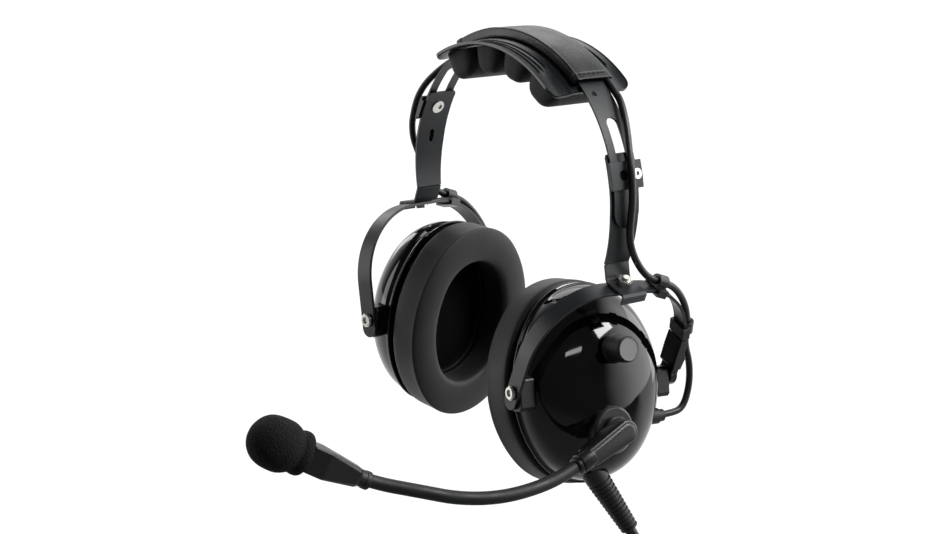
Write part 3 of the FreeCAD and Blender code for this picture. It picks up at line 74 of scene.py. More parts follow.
# %% Frames of the arms, yokes and cups
METRES = Matrix.Scale(0.001, 4)
SIDES = ("left", "right")
ARC_HEIGHT = 85.0
PIVOT_OUT = 65.4
YOKE_LEAN = 15.9
TOE_IN = 7.0
LEFT_CUP_TILT = 16.7


def turned(axis, degrees):
    return Matrix.Rotation(math.radians(degrees), 4, axis)


def rear(side):
    """The sign of Y that points to the back of the head in that side's frames."""
    return 1 if side == "left" else -1


def arm_frame(side):
    return turned("Z", 0 if side == "left" else 180)


def yoke_frame(side):
    lean = turned("Y", YOKE_LEAN) @ turned("Z", -rear(side) * TOE_IN)
    return arm_frame(side) @ Matrix.Translation((PIVOT_OUT, 0, 0)) @ lean


def cup_frame(side):
    tilt = LEFT_CUP_TILT if side == "left" else 0
    return yoke_frame(side) @ turned("Y", -YOKE_LEAN - tilt)


for side in SIDES:
    outward = cup_frame(side).to_3x3() @ Vector((1, 0, 0))
    print(f"{side} cup faces {outward.x:.2f} {outward.y:.2f} {outward.z:.2f}")

# %% [markdown]
# ## The camera
# The photograph looks at the headset from the front left of its wearer and a little from above, with
# the camera rolled by a few degrees. A long lens, here 78 mm, keeps both ear cups nearly one size.

# %% Camera
AZIMUTH = math.radians(49.85)
ELEVATION = math.radians(17.6)
ROLL = math.radians(4.31)
DISTANCE = 1049.17
TARGET_ACROSS = -23.63
TARGET_UP = 40.12
LENS = 77.65

back = Vector((
    math.sin(AZIMUTH) * math.cos(ELEVATION),
    -math.cos(AZIMUTH) * math.cos(ELEVATION),
    math.sin(ELEVATION),
))
level = Vector((math.cos(AZIMUTH), math.sin(AZIMUTH), 0))
upright = back.cross(level)
right = math.cos(ROLL) * level + math.sin(ROLL) * upright
up = math.cos(ROLL) * upright - math.sin(ROLL) * level
eye = level * TARGET_ACROSS + Vector((0, 0, TARGET_UP)) + back * DISTANCE

camera = bpy.data.objects.new("camera", bpy.data.cameras.new("camera"))
bpy.context.scene.collection.objects.link(camera)
camera.data.lens = LENS
camera.data.sensor_width = 36
camera.data.clip_end = 20
camera.matrix_world = METRES @ Matrix.Translation(eye) @ Matrix((right, up, back)).transposed().to_4x4()
camera.scale = (1, 1, 1)
bpy.context.scene.camera = camera
print(f"camera: {DISTANCE:.0f} mm away, lens {LENS} mm")

# %% [markdown]
# ## Two helpers for finishes
# A finish is written as a small graph of nodes. Colours are given as they look on a screen, in hex,
# and are turned to the linear values that light adds up in. One helper adds any node: a keyword is
# either one of the node's own settings or the name of a socket, which gets a number or a link.

# %% Colour and node helpers
def paint(code):
    """A screen colour as linear red, green, blue and full alpha."""
    shares = [int(code[k:k + 2], 16) / 255 for k in (0, 2, 4)]
    return [((s + 0.055) / 1.055) ** 2.4 if s > 0.04045 else s / 12.92 for s in shares] + [1.0]


def add(tree, kind, **values):
    """Adds a node. A value is one of its settings, or goes into the socket of that name."""
    node = tree.nodes.new("ShaderNode" + kind)
    for name, value in values.items():
        socket = node.inputs.get(name.replace("_", " "))
        if socket is None:
            setattr(node, name, value)
        elif isinstance(value, bpy.types.NodeSocket):
            tree.links.new(value, socket)
        else:
            socket.default_value = value
    return node


def new_finish(name):
    """An empty material, and the place of a point on the piece in metres."""
    material = bpy.data.materials.new(name)
    material.use_nodes = True
    tree = material.node_tree
    tree.nodes.clear()
    place = add(tree, "TexCoord").outputs["Object"]
    return material, tree, place


def spread_colours(tree, factor, *codes):
    """A ramp from one colour to the next, evenly spaced."""
    ramp = add(tree, "ValToRGB", Fac=factor)
    while len(ramp.color_ramp.elements) < len(codes):
        ramp.color_ramp.elements.new(0.5)
    for number, (element, code) in enumerate(zip(ramp.color_ramp.elements, codes)):
        element.position = number / (len(codes) - 1)
        element.color = paint(code)
    return ramp.outputs["Color"]


def soft_edge(tree, radius):
    """Normals that are rounded near an edge, over that many millimetres."""
    return add(tree, "Bevel", samples=4, Radius=radius / 1000).outputs["Normal"]


def finished(tree, shader):
    add(tree, "OutputMaterial", Surface=shader.outputs[0])


def per_millimetre(size):
    """The texture scale that makes one cell of a pattern that many millimetres wide."""
    return 1000 / size


print("helpers for colours and nodes are ready")

# %% [markdown]
# ## Powder-coated steel
# The band, the arms and the yokes are spring steel with a baked powder coat. The powder melts into
# a skin with a very fine orange peel about 0.6 mm across, so highlights are broad and a little
# grainy. The blue-black colour and the shine drift slightly from place to place.

# %% Powder-coated steel
steel, tree, place = new_finish("baked_powder_coat")
drift = add(tree, "TexNoise", Vector=place, Scale=per_millimetre(30), Detail=3)
peel = add(tree, "TexNoise", Vector=place, Scale=per_millimetre(0.6), Detail=2)
shine = add(
    tree, "MapRange", Value=drift.outputs["Fac"], From_Min=0.35, From_Max=0.65, To_Min=0.36, To_Max=0.46)
bump = add(
    tree, "Bump", Height=peel.outputs["Fac"], Strength=0.3, Distance=0.00008, Normal=soft_edge(tree, 0.35))
finished(tree, add(
    tree, "BsdfPrincipled",
    Base_Color=spread_colours(tree, drift.outputs["Fac"], "0f1215", "191d21"),
    Roughness=shine.outputs["Result"], IOR=1.5, Normal=bump.outputs["Normal"],
))
print("finish:", steel.name)

# %% [markdown]
# ## Gloss ABS
# The cup shells are injection-moulded ABS from a polished tool, painted piano black. Its surface is
# nearly a mirror: what the eye reads is the studio in it, so the base is almost black, the roughness
# is low and even, and only a very long, shallow wave of about 18 mm betrays that it is moulded.

# %% Gloss ABS
gloss, tree, place = new_finish("gloss_abs")
wave = add(tree, "TexNoise", Vector=place, Scale=per_millimetre(18), Detail=1)
dust = add(tree, "TexNoise", Vector=place, Scale=per_millimetre(9), Detail=6)
haze = add(tree, "MapRange", Value=dust.outputs["Fac"], From_Min=0.4, From_Max=0.8, To_Min=0.035, To_Max=0.09)
bump = add(tree, "Bump", Height=wave.outputs["Fac"], Strength=0.12, Distance=0.00025)
finished(tree, add(
    tree, "BsdfPrincipled",
    Base_Color=spread_colours(tree, dust.outputs["Fac"], "040405", "08090a"),
    Roughness=haze.outputs["Result"], IOR=1.53, Normal=bump.outputs["Normal"],
))
print("finish:", gloss.name)

# %% [markdown]
# ## Moulded nylon
# The lugs, clips, boom joint and microphone holder are glass-filled nylon from a spark-eroded tool.
# The tool leaves a fine matt grain of about 0.25 mm. It is drawn at 0.4 mm here, so that it shows.

# %% Moulded nylon
nylon, tree, place = new_finish("moulded_nylon")
drift = add(tree, "TexNoise", Vector=place, Scale=per_millimetre(12), Detail=4)
grain = add(tree, "TexNoise", Vector=place, Scale=per_millimetre(0.4), Detail=2)
shine = add(
    tree, "MapRange", Value=drift.outputs["Fac"], From_Min=0.3, From_Max=0.7, To_Min=0.28, To_Max=0.38)
bump = add(
    tree, "Bump", Height=grain.outputs["Fac"], Strength=0.3, Distance=0.00004, Normal=soft_edge(tree, 0.5))
finished(tree, add(
    tree, "BsdfPrincipled",
    Base_Color=spread_colours(tree, drift.outputs["Fac"], "0e0f11", "161719"),
    Roughness=shine.outputs["Result"], IOR=1.52, Normal=bump.outputs["Normal"],
))
print("finish:", nylon.name)

# %% [markdown]
# ## Seal skin
# The ear cushions are liquid foam in a skin of polyurethane leather. Its printed pebbles are about
# 0.7 mm across, shallow, and stretched smooth over the crown. The skin is satin, with a soft bloom
# at grazing angles that a little sheen gives.

# %% Seal skin
seal_skin, tree, place = new_finish("polyurethane_leather")
pebble = add(tree, "TexVoronoi", Vector=place, Scale=per_millimetre(0.7), feature="SMOOTH_F1", Smoothness=0.4)
crease = add(tree, "TexNoise", Vector=place, Scale=per_millimetre(5), Detail=5, Roughness=0.6)
wear = add(tree, "TexNoise", Vector=place, Scale=per_millimetre(22), Detail=3)
satin = add(tree, "MapRange", Value=wear.outputs["Fac"], From_Min=0.3, From_Max=0.7, To_Min=0.48, To_Max=0.60)
fine = add(tree, "Bump", Height=pebble.outputs["Distance"], Strength=0.22, Distance=0.00006)
bump = add(
    tree, "Bump", Height=crease.outputs["Fac"], Strength=0.25, Distance=0.0003, Normal=fine.outputs["Normal"])
finished(tree, add(
    tree, "BsdfPrincipled",
    Base_Color=spread_colours(tree, wear.outputs["Fac"], "0a0a0a", "111010"),
    Roughness=satin.outputs["Result"], IOR=1.42, Normal=bump.outputs["Normal"],
    Sheen_Weight=0.05, Sheen_Roughness=0.5,
))
print("finish:", seal_skin.name)

# %% [markdown]
# ## Sleeve vinyl
# The sleeve round the band is calendered vinyl on cloth. Its leather grain is coarser than the
# seals', about 1.1 mm, with darker valleys, and it is shinier where the band presses it from inside.

# %% Sleeve vinyl
vinyl, tree, place = new_finish("grained_vinyl")
pebble = add(tree, "TexVoronoi", Vector=place, Scale=per_millimetre(1.1), feature="SMOOTH_F1", Smoothness=0.3)
drift = add(tree, "TexNoise", Vector=place, Scale=per_millimetre(16), Detail=4)
shine = add(
    tree, "MapRange", Value=drift.outputs["Fac"], From_Min=0.3, From_Max=0.7, To_Min=0.32, To_Max=0.46)
bump = add(tree, "Bump", Height=pebble.outputs["Distance"], Strength=0.6, Distance=0.00018)
finished(tree, add(
    tree, "BsdfPrincipled",
    Base_Color=spread_colours(tree, pebble.outputs["Distance"], "121517", "0a0b0c"),
    Roughness=shine.outputs["Result"], IOR=1.5, Normal=bump.outputs["Normal"],
))
print("finish:", vinyl.name)

# %% [markdown]
# ## Saddle polyethylene
# The wings under the sleeve are a thin moulded sheet of soft polyethylene. It is smoother than the
# nylon, waxy, and blue-black, with long highlights along its ribs and rim.

# %% Saddle polyethylene
waxy, tree, place = new_finish("saddle_polyethylene")
drift = add(tree, "TexNoise", Vector=place, Scale=per_millimetre(20), Detail=3)
grain = add(tree, "TexNoise", Vector=place, Scale=per_millimetre(0.8), Detail=2)
shine = add(
    tree, "MapRange", Value=drift.outputs["Fac"], From_Min=0.3, From_Max=0.7, To_Min=0.23, To_Max=0.32)
bump = add(tree, "Bump", Height=grain.outputs["Fac"], Strength=0.2, Distance=0.00005)
finished(tree, add(
    tree, "BsdfPrincipled",
    Base_Color=spread_colours(tree, drift.outputs["Fac"], "0e1113", "171b1e"),
    Roughness=shine.outputs["Result"], IOR=1.5, Normal=bump.outputs["Normal"],
))
print("finish:", waxy.name)

# %% [markdown]
# ## Foams
# Two foams: the head pads are closed-cell foam with a skin, and the windscreen and ear pads are
# open-cell foam. Open cells are about 0.5 mm, drawn at 0.9 mm, and swallow light: the colour is
# near black and the surface has no gloss, only the broken edges of its cells.

# %% Closed-cell and open-cell foam
pad_foam, tree, place = new_finish("closed_cell_foam")
cell = add(tree, "TexVoronoi", Vector=place, Scale=per_millimetre(0.9))
drift = add(tree, "TexNoise", Vector=place, Scale=per_millimetre(14), Detail=4)
bump = add(tree, "Bump", Height=cell.outputs["Distance"], Strength=0.35, Distance=0.0001)
finished(tree, add(
    tree, "BsdfPrincipled",
    Base_Color=spread_colours(tree, drift.outputs["Fac"], "0a0a0a", "111111"),
    Roughness=0.68, IOR=1.42, Normal=bump.outputs["Normal"], Sheen_Weight=0.06, Sheen_Roughness=0.6,
))
open_foam, tree, place = new_finish("open_cell_foam")
cell = add(tree, "TexVoronoi", Vector=place, Scale=per_millimetre(0.9))
clump = add(tree, "TexNoise", Vector=place, Scale=per_millimetre(4), Detail=6)
fine = add(tree, "Bump", Height=cell.outputs["Distance"], Strength=0.9, Distance=0.0005)
bump = add(
    tree, "Bump", Height=clump.outputs["Fac"], Strength=0.5, Distance=0.0004, Normal=fine.outputs["Normal"])
finished(tree, add(
    tree, "BsdfPrincipled",
    Base_Color=spread_colours(tree, cell.outputs["Distance"], "0d0d0d", "181818"),
    Roughness=0.95, IOR=1.35, Normal=bump.outputs["Normal"],
))
print("finishes:", pad_foam.name, open_foam.name)

# %% [markdown]
# ## Rubber and cable jacket
# The boom's tube and the strain relief are dull moulded rubber. The leads and the cord have a smooth
# extruded jacket of soft polyurethane, which is a shade shinier, with faint streaks along its run.

# %% Rubber and cable jacket
rubber, tree, place = new_finish("moulded_rubber")
drift = add(tree, "TexNoise", Vector=place, Scale=per_millimetre(7), Detail=4)
grain = add(tree, "TexNoise", Vector=place, Scale=per_millimetre(0.5), Detail=2)
shine = add(
    tree, "MapRange", Value=drift.outputs["Fac"], From_Min=0.3, From_Max=0.7, To_Min=0.46, To_Max=0.60)
bump = add(tree, "Bump", Height=grain.outputs["Fac"], Strength=0.3, Distance=0.00005)
finished(tree, add(
    tree, "BsdfPrincipled",
    Base_Color=spread_colours(tree, drift.outputs["Fac"], "0c0d0f", "131517"),
    Roughness=shine.outputs["Result"], IOR=1.5, Normal=bump.outputs["Normal"],
))
jacket, tree, place = new_finish("polyurethane_jacket")
drift = add(tree, "TexNoise", Vector=place, Scale=per_millimetre(5), Detail=3)
shine = add(
    tree, "MapRange", Value=drift.outputs["Fac"], From_Min=0.3, From_Max=0.7, To_Min=0.36, To_Max=0.46)
bump = add(tree, "Bump", Height=drift.outputs["Fac"], Strength=0.2, Distance=0.0001)
finished(tree, add(
    tree, "BsdfPrincipled",
    Base_Color=spread_colours(tree, drift.outputs["Fac"], "0c0d0f", "131518"),
    Roughness=shine.outputs["Result"], IOR=1.5, Normal=bump.outputs["Normal"],
))
print("finishes:", rubber.name, jacket.name)

# %% [markdown]
# ## Bright metal
# Screws, nuts and the plugs' pins are nickel plate on steel or brass: bright, slightly warm, and
# marked by fine turning lines. A metal needs no IOR of its own, only its colour and roughness.

# %% Nickel plate
nickel, tree, place = new_finish("nickel_plate")
lines = add(tree, "TexNoise", Vector=place, Scale=per_millimetre(1.5), Detail=5)
shine = add(
    tree, "MapRange", Value=lines.outputs["Fac"], From_Min=0.3, From_Max=0.7, To_Min=0.14, To_Max=0.26)
bump = add(
    tree, "Bump", Height=lines.outputs["Fac"], Strength=0.1, Distance=0.00003, Normal=soft_edge(tree, 0.2))
finished(tree, add(
    tree, "BsdfPrincipled", Metallic=1.0,
    Base_Color=spread_colours(tree, lines.outputs["Fac"], "d0cec9", "e6e4df"),
    Roughness=shine.outputs["Result"], Normal=bump.outputs["Normal"],
))
print("finish:", nickel.name)

# %% [markdown]
# ## Plugs
# A plug is nickel-plated brass in a black moulded grip. The frame has each plug in one solid, so one
# finish changes from grip to metal at the height where the grip ends, 33 mm above the plug's foot.

# %% Plug of nickel plate and moulded grip
plug_mix, tree, place = new_finish("nickel_plate_in_moulded_grip")
GRIP_TOP = Vector((0, 0, -0.1303))
GRIP_END = (nodes["phone_plug"].matrix_world.inverted() @ GRIP_TOP).z
height = add(tree, "SeparateXYZ", Vector=place).outputs["Z"]
metal = add(tree, "MapRange", Value=height, From_Min=GRIP_END, From_Max=GRIP_END + 0.0001).outputs["Result"]
lines = add(tree, "TexNoise", Vector=place, Scale=per_millimetre(1.5), Detail=5)
grain = add(tree, "Bump", Height=lines.outputs["Fac"], Strength=0.15, Distance=0.00004)
finished(tree, add(
    tree, "BsdfPrincipled", Metallic=metal,
    Base_Color=spread_colours(tree, metal, "111214", "d8d6d1"),
    Roughness=add(tree, "MapRange", Value=metal, To_Min=0.5, To_Max=0.2).outputs["Result"],
    Normal=grain.outputs["Normal"],
))
print("finish:", plug_mix.name)

# %% [markdown]
# ## Knob disc, cloth and strap
# The knob's face is a grey anodised disc, blasted matt. Behind each ear opening is a black knitted
# cloth with loops of about 1.2 mm, its colour darkened to nearly pure black as painted shade for the
# deep opening. The cord is tied with woven nylon strap, ribbed every 2 mm.

# %% Anodised disc, knitted cloth and woven strap
disc_grey, tree, place = new_finish("anodised_aluminium")
blast = add(tree, "TexNoise", Vector=place, Scale=per_millimetre(0.5), Detail=3)
bump = add(tree, "Bump", Height=blast.outputs["Fac"], Strength=0.25, Distance=0.00005)
finished(tree, add(
    tree, "BsdfPrincipled",
    Base_Color=spread_colours(tree, blast.outputs["Fac"], "707071", "808081"),
    Roughness=0.55, Normal=bump.outputs["Normal"],
))
# Painted shade: the cloth's black is darkened to near black, so that the lit cloth stands in for the shade
# deep in the ear opening.
shade_dark_cloth, tree, place = new_finish("knitted_cloth_in_painted_shade")
loops = add(tree, "TexVoronoi", Vector=place, Scale=per_millimetre(1.2))
bump = add(tree, "Bump", Height=loops.outputs["Distance"], Strength=0.6, Distance=0.0003)
finished(tree, add(
    tree, "BsdfPrincipled",
    Base_Color=spread_colours(tree, loops.outputs["Distance"], "050505", "020202"),
    Roughness=0.95, IOR=1.2, Normal=bump.outputs["Normal"],
))
strap, tree, place = new_finish("woven_nylon_strap")
weave = add(tree, "TexWave", Vector=place, Scale=per_millimetre(6.5), bands_direction="Z", Distortion=1.5)
bump = add(tree, "Bump", Height=weave.outputs["Fac"], Strength=0.5, Distance=0.0002)
finished(tree, add(
    tree, "BsdfPrincipled",
    Base_Color=spread_colours(tree, weave.outputs["Fac"], "141414", "1f1f1f"),
    Roughness=0.8, IOR=1.45, Normal=bump.outputs["Normal"],
))
print("finishes:", disc_grey.name, shade_dark_cloth.name, strap.name)

# %% [markdown]
# ## How the meshes are made
# Nearly every piece here is a row of outlines with a skin drawn over them, as a boat's planks lie
# over its ribs. The outlines are worked out in the piece's own frame and set in place by a matrix.
# A row of a single point closes the skin to a tip.

# %% Mesh helpers
def skin(name, rows, place, finish, body, ring=True, capped=False):
    """A mesh over rows of points, set in place, smooth, with its finish, on its body."""
    mesh = bmesh.new()
    made = [[mesh.verts.new(point) for point in row] for row in rows]
    for low, high in zip(made, made[1:]):
        count = max(len(low), len(high))
        for k in range(count if ring else count - 1):
            nearest = [low[k % len(low)], low[(k + 1) % len(low)]]
            nearest += [high[(k + 1) % len(high)], high[k % len(high)]]
            corners = list(dict.fromkeys(nearest))
            if len(corners) > 2:
                mesh.faces.new(corners)
    if capped:
        mesh.faces.new(made[0])
        mesh.faces.new(made[-1])
    bmesh.ops.recalc_face_normals(mesh, faces=mesh.faces)
    data = bpy.data.meshes.new(name)
    mesh.to_mesh(data)
    mesh.free()
    data.transform(METRES @ place)
    data.shade_smooth()
    return settled(name, data, finish, body)


def settled(name, data, finish, body):
    """An object for that mesh or curve, with its finish, riding on its body."""
    piece = bpy.data.objects.new(name, data)
    bpy.context.scene.collection.objects.link(piece)
    if finish:
        data.materials.append(finish)
    if body:
        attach(piece, body)
    return piece


def crisp(piece, degrees=35):
    """Edges sharper than that stay sharp in the shading."""
    piece.data.set_sharp_from_angle(angle=math.radians(degrees))
    return piece


def rounded_edges(piece, width, segments=2):
    """Breaks the sharp edges of a piece, as every moulded or sheared edge is broken."""
    bevel = piece.modifiers.new("rounded_edges", "BEVEL")
    bevel.width = width / 1000
    bevel.segments = segments
    bevel.limit_method = "ANGLE"
    bevel.angle_limit = math.radians(30)
    bevel.harden_normals = True
    return piece


def turned_rows(profile, count=48):
    """Rings round the X axis through pairs of distance along it and radius."""
    rows = []
    for x, radius in profile:
        if radius < 1e-6:
            rows.append([Vector((x, 0, 0))])
            continue
        turns = [2 * math.pi * k / count for k in range(count)]
        rows.append([Vector((x, radius * math.cos(t), radius * math.sin(t))) for t in turns])
    return rows


def grown_oval(half_width, half_height, roundness, grow=0.0, count=96):
    """Points of the cup's four-arc oval in its YZ plane, pushed outward by a distance."""
    end = half_width * roundness
    rise = half_height - end
    narrow = half_width - end
    offset = (rise ** 2 - narrow ** 2) / (2 * narrow)
    corner = math.atan2(rise, offset)
    points = []
    for k in range(count):
        turn = 2 * math.pi * (k + 0.5) / count
        c, s = math.cos(turn), math.sin(turn)
        lean = math.atan2(abs(s), abs(c))
        if lean < corner:
            y = (half_width + offset + grow) * abs(c) - offset
            z = (half_width + offset + grow) * abs(s)
        else:
            y = (end + grow) * abs(c)
            z = rise + (end + grow) * abs(s)
        points.append((math.copysign(y, c), math.copysign(z, s)))
    return points


CUP_ROUNDNESS = 0.875


def oval_row(x, half_width, half_height, grow=0.0, roundness=CUP_ROUNDNESS, count=96):
    return [Vector((x, y, z)) for y, z in grown_oval(half_width, half_height, roundness, grow, count)]


print("mesh helpers are ready")

# %% [markdown]
# ## The rigid parts that keep their CAD shape
# Sheet steel, screws and moulded fittings are exact in the frame, so they only get a finish. A sheared
# or moulded edge is never quite sharp: the finishes round their normals there, and it catches light.

# %% Finishes on the CAD solids
CAD_FINISHES = {
    "headband_spring": steel, "slide_arm": steel, "clamp_plate": steel, "yoke": steel,
    "arm_fasteners": nickel, "pivot_screws": nickel, "yoke_fittings": nylon, "boom_boss": nylon,
    "mic_housing": nylon, "baffle_plate": nylon, "speaker": nickel, "lead_grommet": rubber,
    "volume_control": nickel, "volume_shaft": nickel, "boom_retainer": nickel, "mic_ferrule": rubber,
    "mic_capsule": nickel, "cord_ties": strap, "cord_splitter": rubber, "lead_in_sleeve": jacket,
    "phone_plug": plug_mix, "mic_plug": plug_mix,
}


def plain_name(node):
    for side in SIDES:
        if node.startswith(side + "_"):
            return node[len(side) + 1:]
    return node


for name, piece in nodes.items():
    finish = CAD_FINISHES.get(plain_name(name))
    if finish is None:
        continue
    if not piece.material_slots:
        piece.data.materials.append(finish)
    for slot in piece.material_slots:
        slot.material = finish
print(f"{sum(1 for name in nodes if plain_name(name) in CAD_FINISHES)} solids keep their CAD shape")

# %% [markdown]
# ## Ear cup shells
# Each shell is half an egg on an oval rim. A polished dome shows every facet, so it is not a
# faceted solid but rings worked out from the same curve, close enough together to reflect cleanly.
# The curve is a superellipse, a little fuller than an ellipse, as the photograph's outline is.
# The skin starts at the inner tip, runs out to the rim and back over the outside, so it is closed.

# %% Ear cup shells
CUP_BACK, CUP_DEPTH, CUP_FULLNESS = -8.0, 30.5, 2.35
CUP_WIDE, CUP_HIGH = 40.0, 49.5
CUP_WALL = 2.2


def egg_rows(wide, high, deep, steps):
    """Ovals from the rim of half an egg to its tip."""
    rows = []
    power = 2 / CUP_FULLNESS
    for step in range(1, steps):
        turn = math.radians(90 * step / steps)
        share = math.cos(turn) ** power
        rows.append(oval_row(CUP_BACK + deep * math.sin(turn) ** power, wide * share, high * share))
    rows.append([Vector((CUP_BACK + deep, 0, 0))])
    return rows


RIM_PROFILE = (
    (-9.5, -2.0), (-9.5, 1.0), (-9.4, 1.3), (-9.1, 1.5), (-8.5, 1.5), (-8.2, 1.3), (-8.05, 0.9), (-7.9, 0.3),
)
for side in SIDES:
    inside = egg_rows(CUP_WIDE - CUP_WALL, CUP_HIGH - CUP_WALL, CUP_DEPTH - CUP_WALL, 16)
    rim = [oval_row(x, CUP_WIDE, CUP_HIGH, grow) for x, grow in RIM_PROFILE]
    outside = egg_rows(CUP_WIDE, CUP_HIGH, CUP_DEPTH, 44)
    rows = list(reversed(inside)) + rim + outside
    shell = skin(side + "_dome", rows, cup_frame(side), gloss, side + "_cup")
    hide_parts(side + "_cup_shell")
    print(f"{shell.name}: {len(shell.data.polygons)} faces")

# %% [markdown]
# ## Pivot lugs
# A lug stands out of the shell at the front and the rear, and the yoke's end is screwed to it. The
# front lug is short. The rear one reaches further down, over the lead's bush.

# %% Pivot lugs
LUG_WIDE = 9.0
LUG_FACE = 45.95
LUG_SPANS = {1: (7.5, -9.5), -1: (4.5, -11.2)}


def lug_rows(sign, high, low):
    half = LUG_WIDE / 2
    cut = 1.5
    outline = [
        (-half, low + cut), (cut - half, low), (half - cut, low), (half, low + cut),
        (half, high - cut), (half - cut, high), (cut - half, high), (-half, high - cut),
    ]
    return [[Vector((x, sign * y, z)) for x, z in outline] for y in (30.0, LUG_FACE)]


for side in SIDES:
    for forward, (high, low) in LUG_SPANS.items():
        rows = lug_rows(-forward * rear(side), high, low)
        end = "front" if forward > 0 else "rear"
        lug = skin(f"{side}_{end}_lug", rows, cup_frame(side), nylon, side + "_cup", capped=True)
        crisp(rounded_edges(lug, 0.7, 3), 40)
print("four pivot lugs")

# %% [markdown]
# ## Ear seals
# A seal is a ring of soft foam in a leather skin, glued to the plate behind the cup. The skin is
# welded along three seams: at the plate outside and inside, and along the outer corner, where the
# weld stands up as a fine ridge. Between the seams the foam presses it out. So each ring is built
# slack from a profile, its seams are pinned, and a short cloth simulation with pressure swells it.

# %% Ear seals
SEAL_BACK = -13.3
SEAL_DEEP = 19.0
SEAL_WIDE, SEAL_HIGH = 43.4, 52.5
HOLE_WIDE, HOLE_HIGH, HOLE_ROUNDNESS = 25.0, 33.0, 0.9
# the profile goes round the cushion: depth from the plate, at the rim or at the hole, grow,
# and seam or not
SEAL_PROFILE = (
    (0.00, 1, -2.2, 1), (0.04, 1, -1.2, 1), (0.09, 1, -0.75, 1), (0.20, 1, -0.55, 0), (0.34, 1, -0.5, 0),
    (0.48, 1, -0.45, 0), (0.62, 1, -0.4, 0), (0.74, 1, -0.3, 0), (0.82, 1, -0.15, 1), (0.855, 1, 0.0, 1),
    (0.885, 1, -0.25, 1), (0.90, 1, -0.9, 1), (0.92, 1, -2.2, 0), (0.94, 1, -4.2, 0), (0.955, 1, -6.6, 0),
    (0.96, 1, -9.0, 0), (0.96, 1, -11.4, 0), (0.955, 0, 4.2, 0), (0.94, 0, 2.6, 0), (0.90, 0, 1.3, 0),
    (0.83, 0, 0.5, 0), (0.72, 0, 0.2, 0), (0.56, 0, 0.1, 0), (0.38, 0, 0.3, 0), (0.16, 0, 0.7, 1),
    (0.00, 0, 1.2, 1),
)
SEAL_COUNT = 132
SWELL_PRESSURE = 3.0
SWELL_FRAMES = 16
SWELL_CAP = 1.6


def seal_rows():
    rows = []
    for depth, outer, grow, seam in SEAL_PROFILE:
        size = (SEAL_WIDE, SEAL_HIGH) if outer else (HOLE_WIDE, HOLE_HIGH)
        roundness = CUP_ROUNDNESS if outer else HOLE_ROUNDNESS
        rows.append(oval_row(SEAL_BACK - SEAL_DEEP * depth, *size, grow, roundness, SEAL_COUNT))
    return rows


def swollen(piece, pinned):
    """Blows a piece up like a cushion, pinned at its seams, and keeps the shape that comes out."""
    seams = piece.vertex_groups.new(name="seams")
    seams.add(pinned, 1.0, "REPLACE")
    cushion = piece.modifiers.new("swell", "CLOTH")
    cushion.settings.vertex_group_mass = "seams"
    cushion.settings.use_pressure = True
    cushion.settings.uniform_pressure_force = SWELL_PRESSURE
    cushion.settings.effector_weights.gravity = 0
    cushion.point_cache.frame_start, cushion.point_cache.frame_end = 1, SWELL_FRAMES
    for frame_number in range(1, SWELL_FRAMES + 1):
        bpy.context.scene.frame_set(frame_number)
    shaped = piece.evaluated_get(bpy.context.evaluated_depsgraph_get())
    ends = [vertex.co.copy() for vertex in shaped.data.vertices]
    piece.modifiers.remove(cushion)
    bpy.context.scene.frame_set(1)
    moved = 0.0
    for vertex, end in zip(piece.data.vertices, ends):
        move = end - vertex.co
        if move.length > SWELL_CAP / 1000:
            move *= SWELL_CAP / 1000 / move.length
        vertex.co += move
        moved = max(moved, move.length * 1000)
    piece.vertex_groups.remove(seams)
    return moved


for side in SIDES:
    cushion = skin(side + "_ear_cushion", seal_rows() + seal_rows()[:1], cup_frame(side), seal_skin, None)
    welded = bmesh.new()
    welded.from_mesh(cushion.data)
    bmesh.ops.remove_doubles(welded, verts=welded.verts, dist=1e-6)
    welded.to_mesh(cushion.data)
    welded.free()
    seams = [row for row, mark in enumerate(SEAL_PROFILE) if mark[3]]
    pinned = [row * SEAL_COUNT + k for row in seams for k in range(SEAL_COUNT)]
    print(f"{cushion.name} swells by up to {swollen(cushion, pinned):.2f} mm")
    smooth = cushion.modifiers.new("smooth", "SUBSURF")
    smooth.render_levels = 1
    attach(cushion, side + "_cup")
    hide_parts(side + "_ear_seal")
print("two ear seals")

# %% [markdown]
# ## Cloth in the ear opening
# Behind the opening lies a thin foam pad under black knitted cloth. It is slightly domed towards
# the ear and disappears under the seal all round. Its finish is darkened to near black, as painted
# shade in the opening.

# %% Cloth in the ear opening
CLOTH_BACK, CLOTH_EDGE, CLOTH_TOP = -6.3, -9.6, -11.8
CLOTH_TUCK = 4
for side in SIDES:
    wide, high = HOLE_WIDE + CLOTH_TUCK, HOLE_HIGH + CLOTH_TUCK
    rows = [[Vector((CLOTH_BACK, 0, 0))], oval_row(CLOTH_BACK, wide, high, roundness=HOLE_ROUNDNESS)]
    for share in (1.0, 0.97, 0.8, 0.55, 0.3):
        rise = CLOTH_EDGE + (CLOTH_TOP - CLOTH_EDGE) * (1 - share ** 2)
        rows.append(oval_row(rise, wide * share, high * share, roundness=HOLE_ROUNDNESS))
    rows.append([Vector((CLOTH_TOP, 0, 0))])
    pad = skin(side + "_ear_cloth", rows, cup_frame(side), shade_dark_cloth, side + "_cup")
    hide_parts(side + "_ear_foam")
print("two ear cloths")

# %% [markdown]
# ## Head pad: four foam blocks
# Under the saddle sit four blocks of skinned foam, side by side across the crown. Each is moulded
# like a small pillow: its outline is drawn round the arc at several stations, which shrink quickly
# at the two ends, so that deep notches stay between the blocks.

# %% Foam blocks
FOAM_SPANS = ((54.0, 72.0), (74.0, 89.5), (91.5, 107.0), (109.0, 126.0))
FOAM_ROOF = 73.6
FOAM_DEPTH = 14.0
FOAM_HALF = 21.0
ARC_MIDDLE = Vector((0, 0, ARC_HEIGHT))


def on_arc(radius, angle, across=0.0):
    """A point at that angle about the headband's arc axis, where 0 is level and 90 is the crown."""
    turn = math.radians(angle)
    return ARC_MIDDLE + Vector((radius * math.cos(turn), across, radius * math.sin(turn)))


